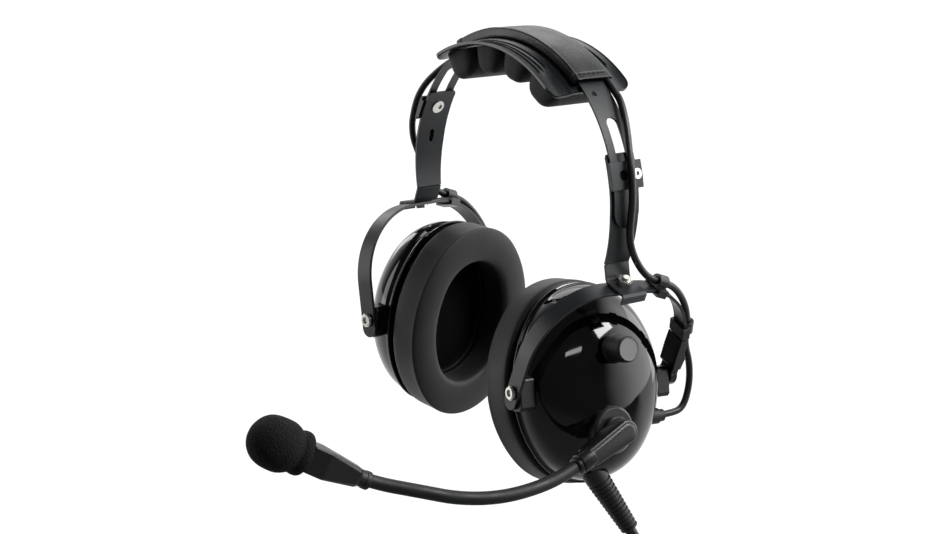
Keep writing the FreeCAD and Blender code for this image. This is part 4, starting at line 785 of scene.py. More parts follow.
def block_outline(half, low, high, corner, count=6):
    """A rectangle of across and radius pairs, whose two lower corners are round."""
    points = [(half, high)]
    for k in range(count + 1):
        turn = math.radians(-90 * k / count)
        points.append((half - corner + corner * math.cos(turn), low + corner + corner * math.sin(turn)))
    mirrored = [(-across, radius) for across, radius in reversed(points)]
    return points + mirrored


for number, (start, end) in enumerate(FOAM_SPANS, start=1):
    middle, reach = (start + end) / 2, (end - start) / 2
    rows = []
    for step in range(-16, 17):
        share = math.sin(math.pi / 2 * step / 16)
        swell = (1 - abs(share) ** 3.2) ** 0.5
        low = FOAM_ROOF - FOAM_DEPTH * (0.3 + 0.7 * swell)
        half = FOAM_HALF - 4.5 * (1 - swell)
        corner = 4.0 + 1.5 * (1 - swell)
        outline = block_outline(half, low, FOAM_ROOF, min(corner, (FOAM_ROOF - low) * 0.6))
        rows.append([on_arc(radius, middle + share * reach, across) for across, radius in outline])
    block = skin(f"head_foam_{number}", rows, Matrix(), pad_foam, "headband", capped=True)
    crisp(block, 60)
    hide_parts(f"foam_block_{number}")
print(f"{len(FOAM_SPANS)} foam blocks")

# %% [markdown]
# ## Saddle
# The saddle is a thin moulded wing on each side of the sleeve. It is one fine sheet here: its
# height over the arc comes from a profile across the head, its rounded corners from pulling the
# sheet in near the ends, and its three ribs and beaded rim are raised in the sheet itself.

# %% Saddle
SADDLE_HALF_ANGLE = 38.0
SADDLE_HALF_WIDE = 26.5
SADDLE_RIM = 75.8
SADDLE_CREST = 76.9
SADDLE_CORNER = 5.5
SADDLE_WALL = 1.3
RIB_ACROSS = (22.0, 19.1, 16.2)
RIB_SPREADS = (26.0, 24.5, 23.0)


def saddle_half_width(angle):
    """The sheet's half width there, drawn in round its corners."""
    reach = SADDLE_RIM * math.sin(math.radians(SADDLE_HALF_ANGLE))
    x = abs(SADDLE_RIM * math.cos(math.radians(angle)))
    past = min(max(x - (reach - SADDLE_CORNER), 0), SADDLE_CORNER)
    return SADDLE_HALF_WIDE - SADDLE_CORNER + math.sqrt(SADDLE_CORNER ** 2 - past ** 2)


SADDLE_FLAT, SADDLE_SLOPE = 12.4, 3.4
DISH_START, DISH_WIDE, DISH_DEEP = 16, 9.5, 0.55
RIB_HIGH, RIB_WIDE, RIB_FADE = 0.8, 0.34, 2.0
LIP_HIGH, LIP_WIDE = 0.5, 0.5


def saddle_height(across, angle, edge):
    """The radius of the sheet's top: a crest under the sleeve, wings that fall away, ribs and a rim."""
    a = abs(across)
    fall = min(max((a - SADDLE_FLAT) / SADDLE_SLOPE, 0), 1)
    radius = SADDLE_CREST - (SADDLE_CREST - SADDLE_RIM) * fall * fall * (3 - 2 * fall)
    if a > DISH_START:
        radius -= DISH_DEEP * math.sin(math.pi * min((a - DISH_START) / DISH_WIDE, 1))
    for rib, spread in zip(RIB_ACROSS, RIB_SPREADS):
        end = min(max((spread - abs(angle - 90)) / RIB_FADE, 0), 1)
        radius += RIB_HIGH * end * math.exp(-((a - rib) / RIB_WIDE) ** 2)
    return radius + LIP_HIGH * math.exp(-(edge / LIP_WIDE) ** 2)


columns = [k / 130 for k in range(-130, 131)]
angles = [90 + SADDLE_HALF_ANGLE * math.sin(math.pi / 2 * k / 90) for k in range(-90, 91)]
tops, bottoms = [], []
for angle in angles:
    half = saddle_half_width(angle)
    arc_edge = SADDLE_RIM * math.radians(SADDLE_HALF_ANGLE - abs(angle - 90))
    top, bottom = [], []
    for share in columns:
        across = share * half
        radius = saddle_height(across, angle, min(half - abs(across), arc_edge))
        top.append(on_arc(radius, angle, across))
        bottom.append(on_arc(radius - SADDLE_WALL, angle, across))
    tops.append(top)
    bottoms.append(bottom)
rows = [top + list(reversed(bottom)) for top, bottom in zip(tops, bottoms)]
saddle = skin("saddle", rows, Matrix(), waxy, "headband", capped=True)
crisp(saddle, 50)
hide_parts("saddle_plate")
print(f"saddle: {len(saddle.data.polygons)} faces")

# %% [markdown]
# ## Sleeve
# A strip of vinyl is wrapped round the band and the lead, and closed underneath. It has a turned
# and stitched hem at both ends, rounded edges, a welt along its front edge, and the slight
# waves of a stretched wrap.

# %% Sleeve
SLEEVE_HALF_ANGLE = 35.0
SLEEVE_TOP = 82.2
SLEEVE_LOW = 77.0
SLEEVE_FRONT, SLEEVE_REAR = -11.0, 12.4
SLEEVE_SWELL = 0.15
HEM = 4.2


def sleeve_outline():
    """The wrap's outside as radius and across pairs, from low front over the top to low rear."""
    low, top, front, rear_edge = SLEEVE_LOW, SLEEVE_TOP, SLEEVE_FRONT, SLEEVE_REAR
    marks = [
        (low, front + 0.6), (low + 0.5, front + 0.1), (low + 1.6, front), (low + 3.0, front),
        (top - 1.1, front + 0.1), (top - 0.3, front + 0.25), (top + 0.2, front + 0.7),
        (top + 0.3, front + 1.3), (top - 0.1, front + 1.9), (top - 0.15, front + 2.4), (top, front + 3.2),
    ]
    marks += [(top + SLEEVE_SWELL, across) for across in (-6, -4, -2, 0, 2, 4, 6, 8)]
    marks += [
        (top, rear_edge - 3.0), (top - 0.1, rear_edge - 1.5), (top - 0.45, rear_edge - 0.6),
        (top - 1.1, rear_edge - 0.15), (low + 3.0, rear_edge), (low + 1.6, rear_edge),
        (low + 0.5, rear_edge - 0.1), (low, rear_edge - 0.6),
    ]
    return marks


def sleeve_point(radius, angle, across):
    point = on_arc(radius, angle, across)
    wave = noise.noise(Vector((angle * 0.12, across * 0.16, 3.0)))
    from_end = SLEEVE_HALF_ANGLE - abs(angle - 90)
    hem = 0.28 if from_end < math.degrees(HEM / SLEEVE_TOP) else 0.0
    outward = (point - on_arc(SLEEVE_TOP - 2.6, angle, across * 0.8)).normalized()
    grip = 1 if radius > SLEEVE_LOW + 1 else 0
    return point + outward * grip * (0.22 * wave + hem - 0.25)


hem_angle = math.degrees(HEM / SLEEVE_TOP)
end = -SLEEVE_HALF_ANGLE
stations = [end, end + 0.1, end + 0.4, end + hem_angle - 0.25, end + hem_angle, end + hem_angle + 0.15]
stations += [k * 0.75 for k in range(-42, 43)]
stations += [-value for value in reversed(stations[:6])]
outline = sleeve_outline()
hollow = [
    (SLEEVE_LOW + 0.7, SLEEVE_FRONT + 0.9), (SLEEVE_TOP - 0.95, SLEEVE_FRONT + 0.9),
    (SLEEVE_TOP - 0.95, SLEEVE_REAR - 0.9), (SLEEVE_LOW + 0.7, SLEEVE_REAR - 0.9),
]
outer_rows = []
inner_rows = []
for station in stations:
    tuck = 0.3 if abs(station) > SLEEVE_HALF_ANGLE - 0.05 else 0
    outer_rows.append([sleeve_point(radius - tuck, 90 + station, across) for radius, across in outline])
    inner_rows.append([on_arc(radius, 90 + station, across) for radius, across in hollow])
sleeve = skin("vinyl_sleeve", outer_rows, Matrix(), vinyl, "headband")
skin("sleeve_lining", inner_rows, Matrix(), shade_dark_cloth, "headband")
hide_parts("sleeve_wrap")
print(f"sleeve: {len(sleeve.data.polygons)} faces")

# %% [markdown]
# ## Stitches
# The turned hem at each end is sewn with one row of black thread across the sleeve. A stitch is a
# tiny rounded bar, about 2.5 mm long and 0.5 mm thick, that dips into the vinyl at both its ends.

# %% Hem stitches
STITCH_PITCH = 3.0
STITCH_LONG = 2.5
STITCH_THICK = 0.5
stitches = bmesh.new()
for sign in (-1, 1):
    angle = 90 + sign * (SLEEVE_HALF_ANGLE - hem_angle + 0.9)
    across = SLEEVE_FRONT + 2.0
    while across + STITCH_LONG < SLEEVE_REAR - 1.0:
        for k in range(7):
            share = k / 6
            size = STITCH_THICK * (0.35 + 0.65 * math.sin(math.pi * share))
            lift = 0.30 + 0.22 * math.sin(math.pi * share)
            spot = sleeve_point(SLEEVE_TOP, angle, across + STITCH_LONG * share)
            there = Matrix.Translation(spot + on_arc(lift, angle) - ARC_MIDDLE)
            bmesh.ops.create_icosphere(stitches, subdivisions=1, radius=size / 2 * 1.15, matrix=there)
        across += STITCH_PITCH
data = bpy.data.meshes.new("hem_stitches")
stitches.to_mesh(data)
stitches.free()
data.transform(METRES)
data.shade_smooth()
settled("hem_stitches", data, rubber, "headband")
print("hem stitches are sewn")

# %% [markdown]
# ## Cords as curves
# A wire never has a corner. Every lead and cord here is a NURBS curve of order 3 on the same
# few control points as the CAD route, and it follows them as a springy wire would. Where
# a lead crosses a joint it is turned into a mesh.

# %% Cord helpers
def nurbs(name, points, thickness=0.0):
    """A smooth open curve over control points in millimetres."""
    curve = bpy.data.curves.new(name, "CURVE")
    curve.dimensions = "3D"
    spline = curve.splines.new("NURBS")
    spline.points.add(len(points) - 1)
    for control, point in zip(spline.points, points):
        control.co = (*(METRES @ Vector(point)), 1)
    spline.order_u = 3
    spline.use_endpoint_u = True
    spline.resolution_u = 12
    curve.bevel_depth = thickness / 2000
    curve.bevel_resolution = 5
    curve.use_fill_caps = True
    return curve


def centreline(name, points):
    """The points, in millimetres, of the smooth line that a route's curve draws."""
    holder = bpy.data.objects.new(name, nurbs(name, points))
    mesh = bpy.data.meshes.new_from_object(holder)
    line = [METRES.inverted() @ vertex.co for vertex in mesh.vertices]
    bpy.data.objects.remove(holder)
    bpy.data.meshes.remove(mesh)
    return line


def tube_rows(line, radius, sides=20):
    """Rings round a centreline, carried along it without twist. The radius may be one or a list."""
    rows = []
    way = (line[1] - line[0]).normalized()
    across = way.orthogonal().normalized()
    for number, point in enumerate(line):
        ahead = (line[min(number + 1, len(line) - 1)] - line[max(number - 1, 0)]).normalized()
        across = (across - ahead * across.dot(ahead)).normalized()
        other = ahead.cross(across)
        r = radius[number] if isinstance(radius, list) else radius
        turns = [2 * math.pi * k / sides for k in range(sides)]
        rows.append([point + across * (r * math.cos(t)) + other * (r * math.sin(t)) for t in turns])
    return rows


print("cord helpers are ready")

# %% [markdown]
# ## The lead between the two ears
# One thin lead joins the ears. It comes out of the sleeve beside the band, runs over the clamp and
# down the arm, through two clips on the yoke, hangs in a loose loop behind the cup and enters the
# shell through a rubber bush. It crosses three joints on each side, so it is three pieces. Each
# starts just inside the one before it, so no gap shows.
# On the far side the lead stands off the arm in a bow.

# %% Ear leads
LEAD_WIDE = 3.6
BAND_OUTSIDE = 79.0
LEAN = math.radians(YOKE_LEAN)
YOKE_HEIGHT = 57.0
CROWN = Vector((PIVOT_OUT + YOKE_HEIGHT * math.sin(LEAN), 0, YOKE_HEIGHT * math.cos(LEAN)))
PIVOT = Vector((PIVOT_OUT, 0, 0))


def over_band(marks):
    """Points given as lift over the band's outside, angle about its arc, and distance to the rear."""
    return [on_arc(BAND_OUTSIDE + lift, angle, rearward) for lift, angle, rearward in marks]


def from_point(start, marks):
    return [start + Vector(mark) for mark in marks]


SLIDE_ROUTES = {
    "left": over_band((
        (0.62, 54.35, 9.9), (0.81, 50.19, 9.9), (3.38, 44.36, 8.2), (3.35, 34.46, 5.0),
        (3.88, 24.52, 1.4), (4.09, 17.37, 0.8), (3.55, 12.17, 0.4),
    )),
    "right": over_band((
        (0.62, 54.35, 9.9), (0.81, 50.19, 9.9), (4.0, 44.36, 7.8), (7.2, 34.46, 2.0),
        (9.8, 24.52, -3.4), (9.9, 16.0, -5.4), (8.7, 9.6, -5.2),
    )),
}
FOOT_ROUTES = {
    "left": over_band(((3.55, 12.10, 0.4), (3.59, 9.34, 0.2), (2.79, 3.86, 0.0), (2.03, -3.18, 1.0))),
    "right": over_band(((8.63, 9.4, -5.2), (7.7, 5.4, -5.0), (4.6, -0.2, -3.0), (2.4, -6.0, 0.6))),
}
CROWN_MARKS = ((0.18, 4.4, 16.68), (1.98, 9.2, 8.78), (2.98, 14.6, 3.88), (3.08, 18.3, 2.58))
ROUND_YOKE = from_point(CROWN, (
    (3.08, 18.4, 2.58), (3.28, 24.6, 0.38), (3.18, 33.4, -3.82),
    (1.58, 42.6, -13.22), (-0.72, 48.8, -24.62), (-3.12, 50.8, -33.82),
))
CUP_ROUTES = {
    "left": ROUND_YOKE + from_point(PIVOT, (
        (11.0, 53.3, 14.2), (11.6, 57.2, 4.6), (13.4, 57.0, -7.2),
        (14.8, 52.6, -18.4), (14.0, 44.0, -20.2), (12.5, 31.1, -19.8),
    )),
    "right": ROUND_YOKE + from_point(PIVOT, (
        (10.9, 53.3, 13.2), (10.6, 57.2, 3.6), (10.2, 57.2, -8.2),
        (9.2, 52.8, -19.4), (8.3, 44.6, -22.0), (6.8, 31.7, -21.6),
    )),
}


def in_side(side, route):
    """A route in the arm's frame, set on its side of the headset."""
    return [arm_frame(side) @ Vector((p.x, rear(side) * p.y, p.z)) for p in route]


def bending_lead(side, name, route):
    """A lead as a tube along its route, its start tucked a little back."""
    line = centreline(name, in_side(side, route))
    tuck = line[0] + (line[0] - line[1]).normalized() * 1.2
    thickness = [LEAD_WIDE / 2 * 0.985] + [LEAD_WIDE / 2] * len(line)
    lead = skin(f"{side}_{name}", tube_rows([tuck] + line, thickness), Matrix(), jacket, None, capped=True)
    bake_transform(lead)
    return lead


for side in SIDES:
    slide = bending_lead(side, "slide_lead", SLIDE_ROUTES[side])
    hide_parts(side + "_lead_slide_span")
    foot_route = FOOT_ROUTES[side] + from_point(CROWN, CROWN_MARKS)
    foot = bending_lead(side, "foot_lead", foot_route)
    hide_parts(side + "_lead_foot_span")
    loop = bending_lead(side, "loop_lead", CUP_ROUTES[side])
    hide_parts(side + "_lead_cup_span")
print("six lead pieces, three a side")

# %% [markdown]
# ## Volume knob
# The knob is turned round one axis: a matt black barrel with a soft edge and a flared foot, and a
# grey disc let into its face, whose raised lip catches the light as a thin ring.

# %% Volume knob
KNOB_SEAT = (22.4, -1.5, 18.5)
KNOB_PLACE = cup_frame("left") @ Matrix.Translation(KNOB_SEAT)
KNOB_PROFILE = (
    (0.0, 0.0), (0.0, 6.9), (0.15, 7.35), (0.45, 7.5), (0.9, 7.45), (1.5, 7.1), (2.2, 6.85), (3.2, 6.75),
    (6.0, 6.75), (11.2, 6.6), (11.9, 6.45), (12.35, 6.15), (12.5, 5.9), (12.45, 5.8), (12.25, 5.75),
    (12.25, 0.0),
)
DISC_PROFILE = (
    (12.2, 0.0), (12.2, 5.68), (12.55, 5.68), (12.68, 5.6), (12.7, 5.45), (12.66, 5.3), (12.5, 5.2),
    (12.5, 0.0),
)
barrel = crisp(skin("knob_barrel", turned_rows(KNOB_PROFILE, 72), KNOB_PLACE, rubber, "volume_dial"), 50)
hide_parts("volume_knob")
face = crisp(skin("knob_disc", turned_rows(DISC_PROFILE, 72), KNOB_PLACE, disc_grey, "volume_dial"), 50)
print("volume knob: barrel and disc")

# %% [markdown]
# ## Boom joint
# The boom hangs on a flat nylon bar with one round end, which turns on the boss with friction. Its
# rim is broken by a soft radius, its top is slightly raised, and a turned collar holds the tube.

# %% Boom joint
DROOP = math.radians(25.0)
BOOM_WAY = Vector((0, -math.cos(DROOP), -math.sin(DROOP)))
JOINT_WIDE, JOINT_REACH, JOINT_RISE = 6.0, 25.5, 7.0
outward = Vector((1, 0, 0))
joint_turn = Matrix((BOOM_WAY, outward.cross(BOOM_WAY), outward)).transposed().to_4x4()
JOINT_SEAT = (24.8, -5.0, -21.5)
joint_place = cup_frame("left") @ Matrix.Translation(JOINT_SEAT) @ joint_turn
JOINT_LAYERS = (
    (2.0, 1.2), (2.1, 0.5), (2.4, 0.12), (2.9, 0.0), (9.3, 0.0), (10.0, 0.1), (10.5, 0.35), (10.85, 0.75),
    (11.0, 1.3), (11.02, 1.9), (11.1, 2.15), (11.3, 2.4), (11.45, 2.8), (11.5, 3.4),
)


def bar_row(height, inset):
    """The bar's outline there: a half circle, two tapering sides and a blunt end with round corners."""
    radius = JOINT_WIDE - inset
    arc = [math.pi / 2 + math.pi * k / 36 for k in range(37)]
    points = [Vector((radius * math.cos(t), radius * math.sin(t), height)) for t in arc]
    half = JOINT_WIDE * 0.8 - inset
    corner = max(1.6 - inset * 0.3, 0.6)
    end = JOINT_REACH - inset * 0.8
    for sign, first in ((-1, -90), (1, 0)):
        for k in range(7):
            turn = math.radians(first + 15 * k)
            along = end - corner + corner * math.cos(turn)
            aside = sign * (half - corner) + corner * math.sin(turn)
            points.append(Vector((along, aside, height)))
    return points


bar = skin("joint_bar", [bar_row(*layer) for layer in JOINT_LAYERS], joint_place, nylon, "boom", capped=True)
crisp(bar, 40)
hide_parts("boom_knuckle")
foot_profile = ((0.0, 0.0), (0.0, 6.7), (0.25, 7.0), (2.2, 7.0), (2.6, 6.6), (2.6, 0.0))
foot_turn = Matrix.Rotation(math.radians(-90), 4, "Y")
foot = crisp(skin("joint_foot", turned_rows(foot_profile, 64), joint_place @ foot_turn, nylon, "boom"), 40)
collar_profile = (
    (-3.0, 0.0), (-3.0, 5.16), (4.1, 5.16), (4.6, 5.0), (4.75, 4.7), (4.9, 4.25), (5.3, 4.25), (5.45, 4.44),
    (6.7, 4.44), (7.0, 4.3), (7.2, 3.9), (7.2, 0.0),
)
collar_place = joint_place @ Matrix.Translation((JOINT_REACH, 0, JOINT_RISE))
collar = crisp(skin("joint_collar", turned_rows(collar_profile, 64), collar_place, nylon, "boom"), 40)
print("boom joint: bar, foot and collar")

# %% [markdown]
# ## Boom tube
# The boom is a steel gooseneck in a rubber tube: one smooth curve from the joint on the cup to the
# microphone. It is bent by hand, so the whole tube is one mesh.

# %% Boom tube
BOOM_START = Vector((31.8, -5.0, -21.5))
MIC_END = Vector((13.4, -144.0, -27.7))
MIC_WAY = Vector((-0.056, -0.891, 0.451)).normalized()
BOOM_ROUTE = [
    BOOM_START + BOOM_WAY * 22.5,
    BOOM_START + BOOM_WAY * 38.5,
    Vector((32.2, -56.5, -42.2)),
    Vector((31.5, -78.0, -44.4)),
    Vector((27.3, -98.5, -42.6)),
    Vector((22.0, -116.5, -37.2)),
    MIC_END - MIC_WAY * 8,
    MIC_END + MIC_WAY * 3,
]
BOOM_WIDE = 6.5
line = centreline("boom_line", [cup_frame("left") @ point for point in BOOM_ROUTE])
boom = skin("boom_tube", tube_rows(line, BOOM_WIDE / 2, 32), Matrix(), rubber, None, capped=True)
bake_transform(boom)
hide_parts("gooseneck_root", "gooseneck_bend", "gooseneck_tip")
print(f"boom tube: {sum((a - b).length for a, b in zip(line, line[1:])):.0f} mm long")

# %% [markdown]
# ## Windscreen
# The microphone wears a foam ball. It is turned round the microphone's axis, then every point is
# pushed in or out a little by noise, because cut foam is never quite round.

# %% Windscreen
MIC_UP = Vector((0.25, 0.4, 1))
mic_along = MIC_WAY.normalized()
mic_side = MIC_UP.cross(mic_along).normalized()
mic_turn = Matrix((mic_along, mic_side, mic_along.cross(mic_side))).transposed().to_4x4()
MIC_PLACE = cup_frame("left") @ Matrix.Translation(MIC_END) @ mic_turn
HOUSING_LONG = 28.5
MUFF_PROFILE = (
    (0.8, 5.2), (0.2, 6.2), (0.0, 8.0), (0.2, 9.3), (0.6, 10.1), (1.4, 10.5), (2.7, 10.7), (4.0, 10.7),
    (4.9, 10.35), (5.6, 10.05), (6.5, 10.3), (7.7, 11.0), (9.4, 11.8), (11.3, 12.3), (13.5, 12.5),
    (16.2, 12.55), (18.9, 12.3), (21.4, 11.6), (23.8, 10.4), (25.7, 8.8), (27.3, 6.9), (28.4, 4.9),
    (29.1, 2.7), (29.4, 0.0),
)
rows = []
for x, radius in MUFF_PROFILE:
    ring = turned_rows(((HOUSING_LONG + x, radius),), 72)[0]
    for point in ring:
        dent = noise.noise(point * 0.11) * 0.45 + noise.noise(point * 0.45) * 0.16
        if radius > 0:
            scale = 1 + dent / max(radius, 4)
            point.y *= scale
            point.z *= scale
    rows.append(ring)
rows.insert(0, [Vector((HOUSING_LONG + 0.9, 0, 0))])
muff = skin("windscreen", rows, MIC_PLACE, open_foam, "boom_tip")
muff.modifiers.new("smooth", "SUBSURF").render_levels = 1
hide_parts("mic_muff")
print(f"windscreen: {len(muff.data.polygons)} faces")

# %% [markdown]
# ## Strain relief
# Where the cord leaves the shell, a tapered rubber sleeve with ribs keeps it from kinking. Thirteen
# ribs are cut as grooves 0.75 mm deep. The profile is turned round the sleeve's axis.

# %% Strain relief
RELIEF_START = Vector((3.5, -4.5, -44.0))
RELIEF_WAY = Vector((0.06, 0.53, -0.848)).normalized()
RELIEF_LONG, RELIEF_WIDE, RELIEF_RIBS = 36.0, 12.4, 13
relief_turn = RELIEF_WAY.to_track_quat("X", "Z").to_matrix().to_4x4()
relief_place = cup_frame("left") @ Matrix.Translation(RELIEF_START) @ relief_turn
RIB_PROFILE = ((0.14, 0.75), (0.40, 0.75), (0.50, 0.25), (0.58, 0.05), (0.68, 0.0), (0.88, 0.0), (0.97, 0.1))
plain = 5.0
pitch = (RELIEF_LONG - plain) / RELIEF_RIBS
profile = [(-3.0, 0.0), (-3.0, 6.2), (plain - 0.4, 6.2), (plain, 6.1)]
for rib in range(RELIEF_RIBS):
    start = plain + rib * pitch
    radius = RELIEF_WIDE / 2 * (1 - 0.24 * rib / (RELIEF_RIBS - 1))
    for share, depth in RIB_PROFILE:
        profile.append((start + share * pitch, radius - depth))
profile += [(RELIEF_LONG, 4.4), (RELIEF_LONG, 3.0), (RELIEF_LONG - 1.0, 2.95), (RELIEF_LONG - 1.0, 0.0)]
relief = crisp(skin("cord_relief", turned_rows(profile, 56), relief_place, rubber, "left_cup"), 50)
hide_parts("strain_relief")
print(f"strain relief: {RELIEF_RIBS} ribs")

# %% [markdown]
# ## The main cord
# About 1.4 m of cord hangs from the strain relief, where its curve starts half way down, out of
# sight. It is put away as for storage: wound into a
# tied coil of two layers under the left ear, below the photograph's edge. Then it splits into two
# tails, and each ends in an aircraft plug tied to the front of the coil.

# %% Main cord
CORD_WIDE, TAIL_WIDE = 5.8, 4.0
COIL_MIDDLE = Vector((97.0, 10.0, -145.0))
COIL_PITCH, COIL_INNER, TURNS_A_LAYER = 6.4, 23.5, 3.125
COIL_ENTRY, COIL_STEP = 45.0, 15.0
COIL_TURN = 360 * TURNS_A_LAYER
EXIT_RUN = 23.0


def coil_point(angle):
    """A point of the coil after that much turning. The layers change in the middle half turn."""
    radius = COIL_INNER + COIL_PITCH * abs(angle - COIL_TURN) / 360
    layer = min(max((angle - COIL_TURN) / 180 + 0.5, 0), 1)
    turn = math.radians(COIL_ENTRY - angle)
    return COIL_MIDDLE + Vector((-COIL_PITCH * layer, radius * math.cos(turn), radius * math.sin(turn)))


def measured(points):
    return sum((a - b).length for a, b in zip(points, points[1:])) / 1000


last = coil_point(2 * COIL_TURN)
exit_way = (last - coil_point(2 * COIL_TURN - 0.02)).normalized()
turns = [coil_point(COIL_STEP * k) for k in range(int(2 * COIL_TURN / COIL_STEP) + 1)]
DROP_ROUTE = [Vector((86.0, -0.8, -53.0)), Vector((96.5, 12.7, -76.6)), Vector((97.0, 25.0, -97.7))]
cord_points = DROP_ROUTE + turns + [last + exit_way * (EXIT_RUN - 1)]
cord = settled("main_cord", nurbs("main_cord", cord_points, CORD_WIDE), jacket, "left_cup")
cord_long = measured(centreline("cord_length", cord_points))
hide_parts("cord_drop", "cord_coil")
print(f"main cord: {cord_long:.2f} m")

# %% [markdown]
# ## Tails and plugs
# The two tails leave the splitter side by side, swing under the coil and rise into the boots of the
# plugs. The phone plug is the longer and thicker one.

# %% Tails
TAIL_ROUTES = {
    "phone": (
        (93.5, 14.0, -203.8), (93.5, 3.3, -215.0), (93.0, -18.0, -219.0),
        (89.7, -36.0, -206.0), (89.0, -39.3, -184.0), (89.0, -39.3, -158.0),
    ),
    "mic": (
        (87.7, 14.0, -203.8), (87.7, 3.3, -215.0), (83.5, -18.0, -219.0),
        (77.2, -36.0, -206.0), (76.4, -39.3, -184.0), (76.4, -39.3, -158.0),
    ),
}
for kind, route in TAIL_ROUTES.items():
    points = [Vector(point) for point in route]
    tail = settled(kind + "_cord", nurbs(kind + "_cord", points, TAIL_WIDE), jacket, "left_cup")
    tail_long = measured(centreline(kind, points))
    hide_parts(kind + "_tail")
    print(f"{kind} tail: {tail_long * 1000:.0f} mm")

# %% [markdown]
# ## Floor, walls of light and lamps
# The photograph is a catalogue shot: white paper below and behind, and a dark room on the camera's
# side, so that polished black stays black where it faces the camera. The soft boxes are drawn in the
# domes as shapes. Each one's direction was worked out from where it shines, by reflecting the
# camera's ray there, and its size from how wide the shine is. On the right a softly lit wall gives
# the broad grey glow beside the knob. The headset hangs free, and the floor leaves room for its cups
# to slide down.

# %% Studio
SLIDE_ROOM = 45.0
floor_height = min(corner[2] for corner in cad_box) * 1000 - SLIDE_ROOM
FLOOR_HALF = 4000
BEHIND = (-back.x, -back.y, 0)
WALL_LIGHT = 2.7


def light_rays(tree, behind):
    """One for rays that show the background: the camera's, through glass, and mirrored behind."""
    sight = add(tree, "LightPath")
    mirrored = add(tree, "Math", operation="MULTIPLY")
    tree.links.new(sight.outputs["Is Glossy Ray"], mirrored.inputs[0])
    tree.links.new(behind, mirrored.inputs[1])
    seen = sight.outputs["Is Camera Ray"]
    for other in (sight.outputs["Is Transmission Ray"], mirrored.outputs[0]):
        larger = add(tree, "Math", operation="MAXIMUM")
        tree.links.new(seen, larger.inputs[0])
        tree.links.new(other, larger.inputs[1])
        seen = larger.outputs[0]
    return seen


def share_towards(tree, way, target, low, high, least):
    """A smooth share from least to 1, as the way, or the place, lies more towards that target."""
    along = add(tree, "VectorMath", operation="DOT_PRODUCT")
    tree.links.new(way, along.inputs[0])
    along.inputs[1].default_value = target
    share = add(
        tree, "MapRange", Value=along.outputs["Value"], interpolation_type="SMOOTHSTEP",
        From_Min=low, From_Max=high, To_Min=least, To_Max=1.0)
    return share.outputs["Result"]


def direction(azimuth, elevation):
    a, e = math.radians(azimuth), math.radians(elevation)
    return Vector((math.cos(e) * math.cos(a), math.cos(e) * math.sin(a), math.sin(e)))


paper, tree, place = new_finish("white_paper")
fibre = add(tree, "TexNoise", Vector=place, Scale=per_millimetre(60), Detail=2)
matt = add(tree, "BsdfDiffuse", Color=spread_colours(tree, fibre.outputs["Fac"], "7a7a7a", "7c7c7c"))
far = add(tree, "VectorMath", operation="LENGTH")
tree.links.new(place, far.inputs[0])
glow = add(tree, "MapRange", Value=far.outputs["Value"], From_Min=0.2, From_Max=1.2, To_Min=0.84, To_Max=1.0)
shown = add(tree, "Math", operation="MULTIPLY")
tree.links.new(glow.outputs["Result"], shown.inputs[0])
far_side = share_towards(tree, place, BEHIND, -0.18, 0.24, 0.02)
tree.links.new(light_rays(tree, far_side), shown.inputs[1])
light = add(tree, "Emission", Color=paint("ffffff"), Strength=shown.outputs[0])
both = add(tree, "AddShader")
tree.links.new(matt.outputs[0], both.inputs[0])
tree.links.new(light.outputs[0], both.inputs[1])
finished(tree, both)
data = bpy.data.meshes.new("floor")
corners = [(x * FLOOR_HALF, y * FLOOR_HALF) for x, y in ((-1, -1), (1, -1), (1, 1), (-1, 1))]
data.from_pydata([METRES @ Vector((x, y, floor_height)) for x, y in corners], [], [(0, 1, 2, 3)])
floor = settled("floor", data, paper, None)

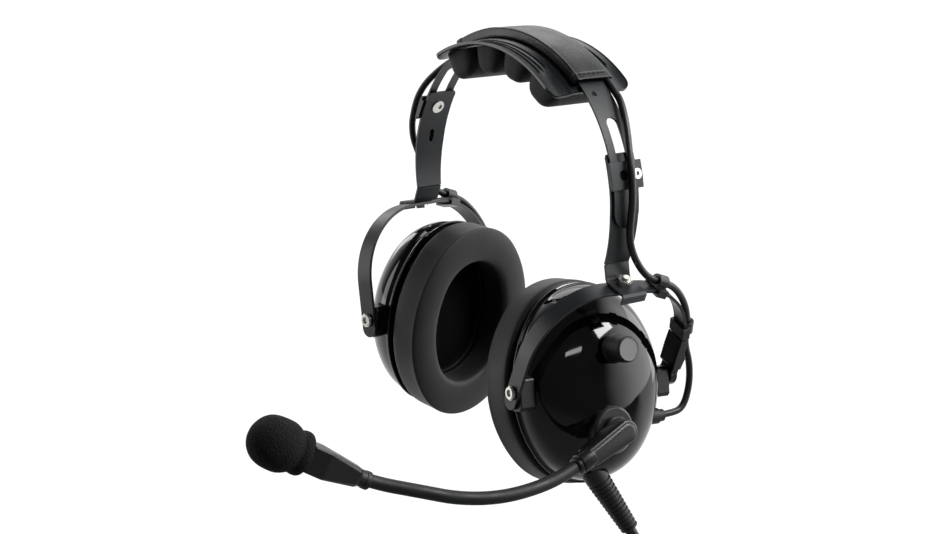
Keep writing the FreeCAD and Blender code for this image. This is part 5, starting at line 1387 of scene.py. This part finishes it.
world = bpy.data.worlds.new("studio")
bpy.context.scene.world = world
world.use_nodes = True
tree = world.node_tree
tree.nodes.clear()
way = add(tree, "TexCoord").outputs["Generated"]
towards_wall = share_towards(tree, way, direction(72, 8), 0.60, 0.96, 0.0)
wall = add(tree, "MapRange", Value=towards_wall, To_Min=0.08, To_Max=WALL_LIGHT)
room = add(tree, "Background", Color=paint("ffffff"), Strength=wall.outputs["Result"])
white = add(tree, "Background", Color=paint("ffffff"), Strength=1.0)
pick = add(tree, "MixShader", Fac=light_rays(tree, share_towards(tree, way, BEHIND, 0.35, 0.8, 0.0)))
tree.links.new(room.outputs[0], pick.inputs[1])
tree.links.new(white.outputs[0], pick.inputs[2])
add(tree, "OutputWorld", Surface=pick.outputs[0])


def soft_box(name, azimuth, elevation, wide, high, brightness, away=1300):
    """A lamp in that direction from the near dome, as wide and high as given in degrees."""
    way = direction(azimuth, elevation)
    lamp = bpy.data.lights.new(name, "AREA")
    lamp.shape = "RECTANGLE"
    lamp.size = 2 * away / 1000 * math.tan(math.radians(wide / 2))
    lamp.size_y = 2 * away / 1000 * math.tan(math.radians(high / 2))
    lamp.energy = brightness * math.pi * lamp.size * lamp.size_y
    holder = bpy.data.objects.new(name, lamp)
    bpy.context.scene.collection.objects.link(holder)
    spot = Vector((60, 0, 0)) + way * away
    holder.matrix_world = METRES @ Matrix.Translation(spot) @ way.to_track_quat("Z", "Y").to_matrix().to_4x4()
    holder.scale = (1, 1, 1)


soft_box("key", 33, 51, 20, 28, 16)
soft_box("streak", -25, 38, 25, 3.5, 6)
soft_box("side_panel", 92, 8, 22, 34, 1.6)
soft_box("top_behind", 150, 42, 44, 34, 1.4)
soft_box("left_behind", 171, 14, 14, 24, 2.4)
soft_box("left_panel", -140, 4, 26, 50, 2.2)
bpy.context.scene.view_settings.view_transform = "Standard"
print("studio: paper floor, six soft boxes, white behind and a dark room in front")

# %% [markdown]
# ## The CAD's box
# The CAD's box is printed, in millimetres.

# %% Sizes and finish
print("CAD box", [[round(value * 1000) for value in corner] for corner in cad_box])
